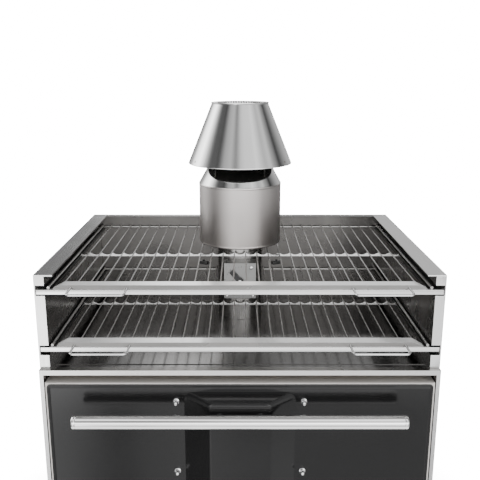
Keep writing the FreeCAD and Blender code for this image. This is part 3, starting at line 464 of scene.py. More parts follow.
def add_lathe(bm, profile, centre=(0, 0), segs=96, closed=True, mat_of=None):
    """Turns (radius, z) points round a vertical axis. A closed profile makes a solid ring."""
    # long runs get a support ring near each end, so a lip's rounding doesn't tilt the shading along the whole run
    full, mats = [], []
    count = len(profile)
    for i in range(count):
        (r0, z0), (r1, z1) = profile[i], profile[(i + 1) % count]
        tag = mat_of[i] if mat_of else 0
        full.append((r0, z0))
        mats.append(tag)
        length = math.hypot(r1 - r0, z1 - z0)
        if length > 0.006 and (closed or i < count - 1):
            for t in (0.0008 / length, 1 - 0.0008 / length):
                full.append((r0 + (r1 - r0) * t, z0 + (z1 - z0) * t))
                mats.append(tag)
    profile, mat_of = full, mats
    rings = []
    for r, z in profile:
        if r < 1e-7:
            rings.append([bm.verts.new((centre[0], centre[1], z))])
        else:
            rings.append([bm.verts.new((centre[0] + r * math.cos(2 * pi * k / segs), centre[1] + r * math.sin(2 * pi * k / segs), z)) for k in range(segs)])
    n = len(rings)
    for i in range(n if closed else n - 1):
        a, b = rings[i], rings[(i + 1) % n]
        for k in range(segs):
            k2 = (k + 1) % segs
            if len(a) == 1 and len(b) == 1:
                continue
            if len(a) == 1:
                f = bm.faces.new((a[0], b[k2], b[k]))
            elif len(b) == 1:
                f = bm.faces.new((a[k], a[k2], b[0]))
            else:
                f = bm.faces.new((a[k], a[k2], b[k2], b[k]))
            if mat_of:
                f.material_index = mat_of[i]
    return bm


def place(bm, verts_before, matrix):
    vs = [v for v in bm.verts if v.index == -1 or v.index >= verts_before]
    bmesh.ops.transform(bm, matrix=matrix, verts=vs)


def add_box(bm, x0, x1, y0, y1, z0, z1, bevel=0.0, segs=2, mat=0, matrix=None):
    r = bmesh.ops.create_cube(bm, size=1.0)
    vs = r["verts"]
    for v in vs:
        v.co = Vector((x0 + (v.co.x + 0.5) * (x1 - x0), y0 + (v.co.y + 0.5) * (y1 - y0), z0 + (v.co.z + 0.5) * (z1 - z0)))
    faces = {f for v in vs for f in v.link_faces}
    for f in faces:
        f.material_index = mat
    if bevel > 0:
        edges = {e for v in vs for e in v.link_edges}
        res = bmesh.ops.bevel(bm, geom=list(edges), offset=bevel, segments=segs, affect="EDGES", profile=0.5, clamp_overlap=True)
        vs = list({v for f in res["faces"] for v in f.verts} | {v for v in vs if v.is_valid})
        for f in res["faces"]:
            f.material_index = mat
    if matrix is not None:
        bmesh.ops.transform(bm, matrix=matrix, verts=vs)
    return vs


def add_dome_screw(bm, at, normal, radius=0.004, height=0.0022, segs=20, drive=True):
    """A low round head with a cross recess, standing on a surface."""
    n = Vector(normal).normalized()
    q = n.to_track_quat("Z", "Y").to_matrix().to_4x4()
    m = Matrix.Translation(Vector(at)) @ q
    prof = [(radius, 0.0), (radius, height * 0.25), (radius * 0.9, height * 0.62), (radius * 0.66, height * 0.88), (radius * 0.38, height), (radius * 0.30, height)]
    inner = [(radius * 0.26, height * 0.45), (0.0, height * 0.40)]
    pts = prof + (inner if drive else [(0.0, height * 1.02)])
    tmp = bmesh.new()
    add_lathe(tmp, pts + [(0.0, 0.0)] if False else pts, (0, 0), segs, closed=False)
    base = [v for v in tmp.verts if abs(v.co.z) < 1e-9 and v.co.length > radius * 0.5]
    bmesh.ops.contextual_create(tmp, geom=[e for e in tmp.edges if len(e.link_faces) == 1])
    bmesh.ops.transform(tmp, matrix=m, verts=tmp.verts[:])
    me = bpy.data.meshes.new("tmp")
    tmp.to_mesh(me)
    tmp.free()
    bm.from_mesh(me)
    bpy.data.meshes.remove(me)


def rounded_rect(x0, x1, z0, z1, r, n=8):
    """Corner-rounded loop, counter-clockwise from the lower right; r may be one radius or four."""
    rs = r if isinstance(r, (tuple, list)) else (r, r, r, r)
    out = []
    for (cx, cz, a0), rr in zip((((x1), (z0), -90), ((x1), (z1), 0), ((x0), (z1), 90), ((x0), (z0), 180)), rs):
        ccx = cx - rr if cx == x1 else cx + rr
        ccz = cz - rr if cz == z1 else cz + rr
        for k in range(n + 1):
            a = math.radians(a0 + 90.0 * k / n)
            out.append((ccx + rr * math.cos(a), ccz + rr * math.sin(a)))
    return out


def loft(bm, loops, cap_start=False, cap_end=False, mat=0):
    """Joins loops of the same number of 3-D points with quads."""
    rings = [[bm.verts.new(p) for p in loop] for loop in loops]
    n = len(rings[0])
    for a, b in zip(rings, rings[1:]):
        for k in range(n):
            f = bm.faces.new((a[k], a[(k + 1) % n], b[(k + 1) % n], b[k]))
            f.material_index = mat
    if cap_start:
        bm.faces.new(list(reversed(rings[0]))).material_index = mat
    if cap_end:
        bm.faces.new(rings[-1]).material_index = mat
    return rings


# ---------------------------------------------------------------- chimney
FLUE = (0.0, 0.08)
blo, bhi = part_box("arrestor_body")
hlo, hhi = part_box("hat")
arr_b, shoulder = blo.z, 1.0574
neck_z, neck_r, arr_r = 1.098, 0.082, 0.1056
sk = 0.0015

bm = bmesh.new()
add_lathe(bm, [
    (0.0585, arr_b), (arr_r - 0.0022, arr_b), (arr_r - 0.0006, arr_b + 0.0006), (arr_r, arr_b + 0.0022), (arr_r, arr_b + 0.004), (arr_r - 0.0004, arr_b + 0.005),
    (arr_r - 0.0004, shoulder - 0.0050), (arr_r, shoulder - 0.0038), (arr_r, shoulder - 0.0008), (arr_r - 0.0006, shoulder),
    (arr_r - 0.0020, shoulder), (arr_r - 0.0020, arr_b + 0.0018), (0.0585, arr_b + 0.0018)], FLUE, 160,
    mat_of=[0, 0, 0, 0, 0, 0, 0, 0, 0, 0, 1, 1, 0])
# the rolled seam up the back of the barrel
add_box(bm, -0.004, 0.004, FLUE[1] + arr_r - 0.0012, FLUE[1] + arr_r + 0.0, arr_b + 0.006, shoulder - 0.006, 0.0004)
finish_mesh("arrestor_barrel", bm, [M["barrel"], M["soot"]], "oven", replaces=("arrestor_body",))

bm = bmesh.new()
slope = [(arr_r - 0.0012, shoulder - 0.0004), (arr_r - 0.0004, shoulder + 0.0008)]
add_lathe(bm, [
    (arr_r - 0.0016, shoulder - 0.0020), (arr_r - 0.0004, shoulder + 0.0002), (arr_r - 0.0014, shoulder + 0.0018), (neck_r + 0.0010, neck_z - 0.0010), (neck_r, neck_z + 0.0006),
    (neck_r, 1.1246), (neck_r - 0.0003, 1.1249), (neck_r - 0.0012, 1.1249), (neck_r - sk, 1.1246), (neck_r - sk, neck_z), (arr_r - 0.0032, shoulder + 0.0002)], FLUE, 160,
    mat_of=[0, 0, 0, 0, 1, 1, 1, 1, 1, 1, 0])
finish_mesh("arrestor_shoulder", bm, [M["cone"], M["soot"]], "oven", replaces=("arrestor_body",))

hb, ht = hlo.z, hhi.z
rb, rt = 0.1314, 0.0715
bm = bmesh.new()
add_lathe(bm, [
    (rb - 0.0002, hb + 0.0003), (rb, hb + 0.0010), (rb - 0.0002, hb + 0.0022), (rt + 0.0003, ht - 0.0042), (rt + 0.0006, ht - 0.0032),
    (rt + 0.0012, ht - 0.0016), (rt + 0.0010, ht - 0.0004), (rt + 0.0002, ht - 0.0001), (rt - 0.0012, ht - 0.0002), (rt - 0.0015, ht - 0.0012), (rt - 0.0013, ht - 0.0042),
    (rb - 0.0018, hb + 0.0022), (rb - 0.0016, hb + 0.0003), (rb - 0.0009, hb)], FLUE, 200,
    mat_of=[0, 0, 0, 0, 0, 0, 0, 0, 0, 1, 1, 1, 0, 0])
finish_mesh("hat_shell", bm, [M["hat"], M["soot"]], "oven", replaces=("hat",))

# spot welds where the struts meet the hat and the neck
bm = bmesh.new()
for k in range(3):
    a = math.radians(90 + 120 * k)
    for r, z in ((0.1268, 1.1148), (0.0822, 1.1148)):
        c = Vector((FLUE[0] + r * math.cos(a), FLUE[1] + r * math.sin(a), z))
        tmp = bmesh.new()
        bmesh.ops.create_uvsphere(tmp, u_segments=16, v_segments=8, radius=1.0)
        bmesh.ops.transform(tmp, matrix=Matrix.Translation(c) @ Matrix.Rotation(a, 4, "Z") @ Matrix.Diagonal((0.0022, 0.0034, 0.0050, 1)), verts=tmp.verts[:])
        me = bpy.data.meshes.new("t")
        tmp.to_mesh(me)
        tmp.free()
        bm.from_mesh(me)
        bpy.data.meshes.remove(me)
finish_mesh("strut_welds", bm, M["chamber"], "oven")

# ---------------------------------------------------------------- damper plate trim
plo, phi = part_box("damper_box")
bm = bmesh.new()
add_dome_screw(bm, (0.0285, plo.y, 0.8520), (0, -1, 0), 0.0052, 0.0026)
add_dome_screw(bm, (-0.0330, plo.y, 0.7765), (0, -1, 0), 0.0030, 0.0016)
add_dome_screw(bm, (0.0330, plo.y, 0.7765), (0, -1, 0), 0.0030, 0.0016)
finish_mesh("damper_plate_screws", bm, M["nut"], "oven")
bm = bmesh.new()
for k in range(9):
    a = math.radians(-85 + 90 * k / 8.0)
    r0, r1 = 0.0355, (0.0395 if k % 4 == 0 else 0.0375)
    m = Matrix.Translation((0, plo.y - 0.00015, 0.817)) @ Matrix.Rotation(a, 4, "Y")
    add_box(bm, -0.0005, 0.0005, -0.0002, 0.0002, r0, r1, 0, matrix=m)
finish_mesh("damper_scale_marks", bm, M["ink"], "oven", smooth=False)

# ---------------------------------------------------------------- door spine
slo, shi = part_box("door_spine")
yd = shi.y
depth = shi.y - slo.y
zt, zb = shi.z, slo.z
half_b, half_f = shi.x, 0.066


def spine_section(u, d, rr):
    """One lofted outline: u runs from the base (0) to the face (1), d is how far it stands out."""
    hw = half_b + (half_f - half_b) * u
    top = zt - 0.010 * u
    bot = zb + 0.010 * u
    return [(x, yd - d, z) for x, z in rounded_rect(-hw, hw, bot, top, (rr * 0.8, rr, rr, rr * 0.8), 8)]


loops = [spine_section(0.0, 0.0, 0.018), spine_section(0.004, 0.0006, 0.018), spine_section(0.03, 0.0018, 0.018)]
for k in range(1, 12):
    u = 0.03 + 0.90 * k / 12.0
    loops.append(spine_section(u, 0.0018 + (depth - 0.0045) * (u - 0.03) / 0.90, 0.018 - 0.008 * u))
loops += [spine_section(0.93, depth - 0.0027, 0.010), spine_section(0.972, depth - 0.0012, 0.009), spine_section(1.01, depth - 0.0004, 0.008), spine_section(1.05, depth, 0.007)]
bm = bmesh.new()
loft(bm, loops, cap_start=False, cap_end=True)
inner = [[(x * 0.985, y + 0.0014, z) for x, y, z in loop] for loop in reversed(loops)]
finish_mesh("spine_pressing", bm, M["enamel"], "door", replaces=("door_spine",), split=30.0)

# ---------------------------------------------------------------- door handle
klo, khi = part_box("door_handle")
hr = (khi.z - klo.z) / 2
hc = (klo + khi) / 2
xe = khi.x
prof = [(0.0, -xe), (hr * 0.30, -xe + 0.0001), (hr * 0.60, -xe + 0.0007), (hr * 0.82, -xe + 0.0018), (hr * 0.94, -xe + 0.0032), (hr - 0.0002, -xe + 0.0050), (hr, -xe + 0.0062),
        (hr, -xe + 0.0090), (hr - 0.0006, -xe + 0.0094), (hr - 0.0006, -xe + 0.0101), (hr, -xe + 0.0105), (hr, -xe + 0.03)]
n_mid = 8
prof += [(hr, -xe + 0.03 + (2 * xe - 0.06) * k / n_mid) for k in range(1, n_mid)]
prof += [(r, -z) for r, z in reversed(prof[:12])]
bm = bmesh.new()
add_lathe(bm, prof, (0, 0), 64, closed=False)
bmesh.ops.transform(bm, matrix=Matrix.Translation(hc) @ Matrix.Rotation(pi / 2, 4, "Y"), verts=bm.verts[:])
finish_mesh("handle_tube", bm, M["handle"], "door", replaces=("door_handle",), split=60)

# ---------------------------------------------------------------- cap nuts
nlo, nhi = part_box("door_cap_nuts")
bm = bmesh.new()
nx = nhi.x - 0.007
nz = [nhi.z - 0.007, (nhi.z + nlo.z) / 2, nlo.z + 0.007]
tall = nhi.y - nlo.y
for sx in (-1, 1):
    for zc in nz:
        tmp = bmesh.new()
        add_lathe(tmp, [(0.0, 0.0), (0.0066, 0.0), (0.0070, 0.0003), (0.0070, 0.0010), (0.0066, 0.0013), (0.0050, 0.0013), (0.0, 0.0013)], (0, 0), 40, closed=False)
        hexr = 0.0059
        base = [Vector((hexr * math.cos(pi / 3 * k + 0.3), hexr * math.sin(pi / 3 * k + 0.3), 0.0013)) for k in range(6)]
        top = [Vector((v.x, v.y, 0.0072)) for v in base]
        rb_ = [tmp.verts.new(v) for v in base]
        rt_ = [tmp.verts.new(v) for v in top]
        rc_ = [tmp.verts.new(Vector((v.x * 0.90, v.y * 0.90, 0.0078))) for v in base]
        for k in range(6):
            tmp.faces.new((rb_[k], rb_[(k + 1) % 6], rt_[(k + 1) % 6], rt_[k]))
            tmp.faces.new((rt_[k], rt_[(k + 1) % 6], rc_[(k + 1) % 6], rc_[k]))
        tmp.faces.new(rc_)
        tmp.faces.new(list(reversed(rb_)))
        dome = [(0.0047, 0.0077), (0.0047, tall - 0.0046), (0.0045, tall - 0.0034), (0.0040, tall - 0.0021), (0.0031, tall - 0.0010), (0.0018, tall - 0.0003), (0.0, tall)]
        add_lathe(tmp, dome, (0, 0), 32, closed=False)
        bmesh.ops.transform(tmp, matrix=Matrix.Translation((sx * nx, nhi.y, zc)) @ Matrix.Rotation(pi / 2, 4, "X"), verts=tmp.verts[:])
        me = bpy.data.meshes.new("t")
        tmp.to_mesh(me)
        tmp.free()
        bm.from_mesh(me)
        bpy.data.meshes.remove(me)
finish_mesh("cap_nut_set", bm, M["nut"], "door", replaces=("door_cap_nuts",), split=32)

# ---------------------------------------------------------------- door front panel with its rolled edge
plo2, phi2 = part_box("door_front_panel")


def panel_loop(inset, y):
    return [(x, y, z) for x, z in rounded_rect(plo2.x + inset, phi2.x - inset, plo2.z + inset, phi2.z - inset, max(0.008 - inset * 0.6, 0.0015), 8)]


yf = plo2.y
bm = bmesh.new()
loft(bm, [panel_loop(0.0, phi2.y), panel_loop(0.0, yf + 0.0012), panel_loop(0.0004, yf + 0.0005), panel_loop(0.0010, yf + 0.0001), panel_loop(0.0018, yf),
          panel_loop(0.0042, yf), panel_loop(0.0048, yf + 0.0003), panel_loop(0.0054, yf + 0.0009), panel_loop(0.0066, yf + 0.0009), panel_loop(0.0072, yf + 0.0003),
          panel_loop(0.0080, yf)], cap_start=True, cap_end=True)
finish_mesh("door_skin", bm, M["enamel"], "door", replaces=("door_front_panel",), split=50)

# ---------------------------------------------------------------- cabinet panels: raised border, pressed ribs, slots, rivets


def pressed_panel(name, node, axis, sign, ribs, slots, body="oven"):
    """A sheet with a recessed field, raised ribs across it, a bank of slots and a row of rivets, all inside the sheet's own thickness."""
    lo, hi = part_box(node)
    u_lo, u_hi = (lo.y, hi.y) if axis == "x" else (lo.x, hi.x)
    face = (hi.x if sign > 0 else lo.x) if axis == "x" else hi.y
    deep = 0.0009

    def depth(u, v):
        d = min(u - u_lo, u_hi - u, v - lo.z, hi.z - v)
        if d < 0.0004:
            return 0.0004
        if d <= 0.0150:
            return 0.0
        for r in ribs:
            if abs(v - r) <= 0.0061 and min(u - u_lo, u_hi - u) >= 0.0449:
                return 0.0
        return deep

    us = {u_lo, u_lo + 0.0008, u_lo + 0.0150, u_lo + 0.0165, u_lo + 0.0435, u_lo + 0.0450, u_hi, u_hi - 0.0008, u_hi - 0.0150, u_hi - 0.0165, u_hi - 0.0435, u_hi - 0.0450}
    vs = {lo.z, lo.z + 0.0008, lo.z + 0.0150, lo.z + 0.0165, hi.z, hi.z - 0.0008, hi.z - 0.0150, hi.z - 0.0165}
    for r in ribs:
        vs |= {r - 0.0075, r - 0.0060, r + 0.0060, r + 0.0075}
    for a, b, c, d in slots:
        us |= {a, b}
        vs |= {c, d}
    us, vs = sorted(us), sorted(vs)

    def point(u, v, extra=0.0):
        w = depth(u, v) + extra
        if axis == "x":
            return (face - sign * w, u, v)
        return (u, face - w, v)

    bm = bmesh.new()
    grid = {}

    def vert(u, v, extra=0.0):
        k = (round(u, 6), round(v, 6), extra)
        if k not in grid:
            grid[k] = bm.verts.new(point(u, v, extra))
        return grid[k]

    hole = lambda u, v: any(a < u < b and c < v < d for a, b, c, d in slots)
    for i in range(len(us) - 1):
        for j in range(len(vs) - 1):
            if hole((us[i] + us[i + 1]) / 2, (vs[j] + vs[j + 1]) / 2):
                continue
            q = [(us[i], vs[j]), (us[i + 1], vs[j]), (us[i + 1], vs[j + 1]), (us[i], vs[j + 1])]
            bm.faces.new([vert(u, v) for u, v in q])
            bm.faces.new([vert(u, v, 0.0005) for u, v in reversed(q)])
    open_edges = [e for e in bm.edges if len(e.link_faces) == 1]
    done = set()
    inv = {v: k for k, v in grid.items()}
    for e in open_edges:
        k0, k1 = inv[e.verts[0]], inv[e.verts[1]]
        if k0[2] != 0.0:
            continue
        bm.faces.new((grid[k0], grid[k1], grid[(k1[0], k1[1], 0.0005)], grid[(k0[0], k0[1], 0.0005)]))
    # louvre hoods behind the slots, in near-black steel as painted shade for the slots' insides
    for a, b, c, d in slots:
        w0, w1 = 0.0015, 0.0075
        if axis == "x":
            x0, x1 = sorted((face - sign * w0, face - sign * w1))
            add_box(bm, x0, x1, a - 0.0006, a + 0.0002, c, d, 0, mat=1)
        else:
            add_box(bm, a - 0.0006, a + 0.0002, face - w1, face - w0, c, d, 0, mat=1)
    n = (sign, 0, 0) if axis == "x" else (0, 1, 0)
    step = (u_hi - u_lo - 0.060) / 4
    for k in range(5):
        for v in (lo.z + 0.030, hi.z - 0.030):
            p = Vector(point(u_lo + 0.030 + step * k, v))
            add_dome_screw(bm, p, n, 0.0040, 0.00085, 18, drive=False)
    for v in [lo.z + 0.030 + (hi.z - lo.z - 0.060) * t for t in (0.25, 0.5, 0.75)]:
        for u in (u_lo + 0.030, u_hi - 0.030):
            add_dome_screw(bm, Vector(point(u, v)), n, 0.0040, 0.00085, 18, drive=False)
    o = finish_mesh(name, bm, [M["cabinet"], M["dark_steel"]], body, replaces=(node,), split=30)
    for p in o.data.polygons:
        p.use_smooth = p.area < 3e-6


side_slots = [(0.10 + 0.018 * k, 0.106 + 0.018 * k, 0.130, 0.205) for k in range(12)]
pressed_panel("side_sheet_left", "cabinet_left_side", "x", -1, (0.36, 0.50), side_slots)
pressed_panel("side_sheet_right", "cabinet_right_side", "x", 1, (0.36, 0.50), side_slots)
back_slots = [(s0 + 0.018 * k, s0 + 0.006 + 0.018 * k, 0.130, 0.205) for s0 in (-0.33, 0.12) for k in range(12)]
pressed_panel("rear_sheet", "cabinet_rear_panel", "y", 1, (0.30, 0.43, 0.56), back_slots)

# ---------------------------------------------------------------- fixings on the front, welds on the rack pulls
lpl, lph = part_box("lower_front_panel")
bm = bmesh.new()
for x, z in ((-0.405, 0.208), (0.405, 0.208), (-0.405, 0.130), (0.415, 0.120), (-0.205, 0.208), (0.205, 0.208), (0.0, 0.208)):
    add_dome_screw(bm, (x, -0.2830, z), (0, -1, 0), 0.0045, 0.0024)
finish_mesh("panel_screws", bm, M["nut"], "oven")

for stem in ("upper_rack", "lower_rack"):
    flo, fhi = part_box(stem + "_front_bar")
    bm = bmesh.new()
    for sx in (-1, 1):
        for x in (0.2436, 0.3594):
            for y, k in ((-0.2722, 1.0), (-0.2745, 0.8)):
                tmp = bmesh.new()
                bmesh.ops.create_uvsphere(tmp, u_segments=14, v_segments=8, radius=1.0)
                bmesh.ops.transform(tmp, matrix=Matrix.Translation((sx * x, y + 0.0006, fhi.z + 0.0007)) @ Matrix.Diagonal((0.0046 * k, 0.0026, 0.0015, 1)), verts=tmp.verts[:])
                me = bpy.data.meshes.new("t")
                tmp.to_mesh(me)
                tmp.free()
                bm.from_mesh(me)
                bpy.data.meshes.remove(me)
    finish_mesh(stem + "_welds", bm, M["wire"], stem)

# ---------------------------------------------------------------- two short black blocks, each with a small peg, beside the chimney cut-out, under the upper rack
glo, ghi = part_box("upper_rack_crossbar")
bm = bmesh.new()
for sx in (-1, 1):
    m = Matrix.Translation((sx * 0.0905, glo.y - 0.0400, glo.z - 0.0010)) @ Matrix.Rotation(sx * math.radians(30), 4, "Z")
    add_box(bm, -0.0125, 0.0125, -0.0055, 0.0055, -0.0080, 0.0000, 0.0014, 3, matrix=m)
    add_box(bm, -0.0022, 0.0022, -0.0022, 0.0022, -0.0010, 0.0040, 0.0006, 2, matrix=m)
finish_mesh("upper_rack_black_blocks", bm, M["lever"], "upper_rack")

# ---------------------------------------------------------------- end plates that close the folded housing walls at the back, with their screws
wlo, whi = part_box("housing_right_wall")
bm = bmesh.new()
spans = ((0.8932, 0.9118), (0.7562, 0.8668), (0.7016, 0.7303))
for sx in (-1, 1):
    for z0, z1 in spans:
        xs = sorted((sx * 0.4191, sx * 0.4384))
        add_box(bm, xs[0], xs[1], whi.y - 0.0024, whi.y - 0.0006, z0, z1, 0.0005, 2)
    for z in (0.7850, 0.8380):
        add_dome_screw(bm, (sx * 0.42875, whi.y - 0.0006, z), (0, 1, 0), 0.0040, 0.0020)
for x in (-0.39, -0.20, 0.0, 0.20, 0.39):
    for z in (0.722, 0.893):
        add_dome_screw(bm, (x, whi.y, z), (0, 1, 0), 0.0040, 0.0022)
finish_mesh("housing_end_plates", bm, M["cabinet"], "oven")

# ---------------------------------------------------------------- hat lip: a ring of small teeth that carries the screen
bm = bmesh.new()
for k in range(64):
    m = Matrix.Translation((FLUE[0], FLUE[1], 0)) @ Matrix.Rotation(2 * pi * k / 64, 4, "Z")
    add_box(bm, rt - 0.0030, rt - 0.0012, -0.0016, 0.0016, ht - 0.0040, ht - 0.0002, 0.0003, 1, matrix=m)
finish_mesh("hat_teeth", bm, M["hat"], "oven")

# lap seams up the back of the hat
bm = bmesh.new()
for w, o in ((0.0030, 0.0), (0.0016, 0.0050)):
    n = 14
    loops = []
    for k in range(n + 1):
        t = k / n
        z = hb + 0.004 + (ht - 0.010 - hb) * t
        r = rb + (rt - rb) * (z - hb) / (ht - hb) - 0.0003
        y = FLUE[1] + r
        loops.append([(o - w / 2, y - 0.0004, z), (o - w / 4, y + 0.00022, z), (o + w / 4, y + 0.00022, z), (o + w / 2, y - 0.0004, z)])
    loft(bm, loops, cap_start=True, cap_end=True)
finish_mesh("hat_seam", bm, M["hat"], "oven")

# ---------------------------------------------------------------- thermometer dial and glass
tlo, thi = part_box("thermometer_case")
tc = Vector((0.0, 0.0, (tlo.z + thi.z) / 2))
y_face = -0.3301
bm = bmesh.new()
prof = [(0.0, 0.0), (0.0250, 0.0), (0.0254, -0.0003), (0.0254, -0.0006), (0.0, -0.0006)]
add_lathe(bm, prof, (0, 0), 64, closed=False)
bmesh.ops.transform(bm, matrix=Matrix.Translation((0, y_face, tc.z)) @ Matrix.Rotation(pi / 2, 4, "X"), verts=bm.verts[:])
finish_mesh("dial_face", bm, M["dial"], "door")
bm = bmesh.new()
for k in range(41):
    a = math.radians(-120 + 240 * k / 40.0)
    long = k % 10 == 0
    mid = k % 5 == 0
    m = Matrix.Translation((0, y_face - 0.00012, tc.z)) @ Matrix.Rotation(a, 4, "Y")
    add_box(bm, -0.00035 if long else -0.0002, 0.00035 if long else 0.0002, -0.0001, 0.0001, 0.0202 if long else (0.0212 if mid else 0.0222), 0.0240, 0, matrix=m)
for k in range(40):
    a0, a1 = (math.radians(-120 + 240 * (k + d) / 40.0) for d in (0, 1))
    q = [(r * math.sin(a), y_face - 0.00010, tc.z + r * math.cos(a)) for r, a in ((0.0240, a0), (0.0244, a0), (0.0244, a1), (0.0240, a1))]
    f = bm.faces.new([bm.verts.new(p) for p in q])
    back = [(x, y + 0.0002, z) for x, y, z in q]
    vs = [bm.verts.new(p) for p in back]
    bm.faces.new(list(reversed(vs)))
    fv = list(f.verts)
    for i in range(4):
        bm.faces.new((fv[(i + 1) % 4], fv[i], vs[i], vs[(i + 1) % 4]))
finish_mesh("dial_scale", bm, M["ink"], "door", smooth=False)
bm = bmesh.new()
for k in range(5):
    a = math.radians(-120 + 60 * k)
    cu = bpy.data.curves.new("digits", "FONT")
    cu.body = str(100 * k)
    cu.size = 0.0052
    cu.extrude = 0.00012
    cu.align_x = "CENTER"
    cu.align_y = "CENTER"
    cu.resolution_u = 3
    ob = bpy.data.objects.new("digits", cu)
    scene.collection.objects.link(ob)
    me = bpy.data.meshes.new_from_object(ob.evaluated_get(bpy.context.evaluated_depsgraph_get()))
    me.transform(Matrix.Translation((0.0158 * math.sin(a), y_face - 0.00018, tc.z + 0.0158 * math.cos(a))) @ Matrix.Rotation(pi / 2, 4, "X"))
    bm.from_mesh(me)
    bpy.data.objects.remove(ob)
    bpy.data.curves.remove(cu)
    bpy.data.meshes.remove(me)
for f in bm.faces:
    f.material_index = 0
finish_mesh("dial_digits", bm, M["ink"], "door", smooth=False)
bm = bmesh.new()
hub = [(0.0, 0.0), (0.0026, 0.0), (0.0026, -0.0010), (0.0020, -0.0015), (0.0, -0.0017)]
add_lathe(bm, [(r, -z) for r, z in hub], (0, 0), 32, closed=False)
bmesh.ops.transform(bm, matrix=Matrix.Translation((0, -0.3346, tc.z)) @ Matrix.Rotation(pi / 2, 4, "X"), verts=bm.verts[:])
finish_mesh("needle_hub", bm, M["nut"], "thermometer_needle")
bm = bmesh.new()
gl = [(0.0, 0.0017), (0.010, 0.0015), (0.018, 0.0010), (0.0236, 0.0003), (0.0256, -0.0004), (0.0256, -0.0010), (0.0236, -0.0003), (0.018, 0.0004), (0.010, 0.0009), (0.0, 0.0011)]
add_lathe(bm, gl, (0, 0), 64, closed=False)
bmesh.ops.transform(bm, matrix=Matrix.Translation((0, -0.3362, tc.z)) @ Matrix.Rotation(pi / 2, 4, "X"), verts=bm.verts[:])
finish_mesh("dial_glass", bm, M["glass"], "door")

# ---------------------------------------------------------------- stage, light, camera


# The studio round the object: brightness by compass direction in degrees, 0 straight in front, + to the right.
STUDIO = [(-180, 2.1), (-173, 1.9), (-168, 0.25), (-158, 0.18), (-148, 0.65), (-140, 0.75), (-126, 3.4), (-110, 5.0), (-100, 2.6), (-92, 1.1), (-84, 0.36),
          (-76, 0.13), (-62, 0.12), (-56, 0.08), (-48, 0.26), (-40, 0.58), (-24, 0.80), (-16, 0.47), (-11, 0.30), (-4, 0.62), (2, 1.0), (12, 1.25),
          (36, 1.3), (42, 1.55), (52, 1.15), (64, 0.72), (78, 1.0), (86, 0.5), (96, 0.28), (104, 0.05), (114, 0.22), (140, 0.65)]
STUDIO_LOW = [(-180, 0.7), (-140, 0.62), (-110, 0.46), (-90, 0.44), (-60, 0.72), (-25, 1.25), (0, 1.45), (25, 1.3), (60, 0.95), (90, 0.72), (115, 0.42),
              (140, 0.30), (165, 0.40), (180, 0.7)]
# what the glossy door sees low in front: two paler patches on the left, an even tone on the right
STUDIO_DOOR = [(-180, 0.3), (-60, 0.15), (-30, 0.9), (-18, 2.1), (-15.5, 1.6), (-13.5, 0.62), (-10.8, 0.45), (-9.4, 0.75), (-8.4, 1.6), (-7.4, 0.85),
               (-6.5, 0.60), (-5.3, 1.7), (-4.2, 1.5), (-2.6, 1.05), (0, 0.86), (4, 0.90), (8, 0.86), (20, 0.84), (50, 0.9), (75, 0.9), (110, 0.4), (180, 0.3)]


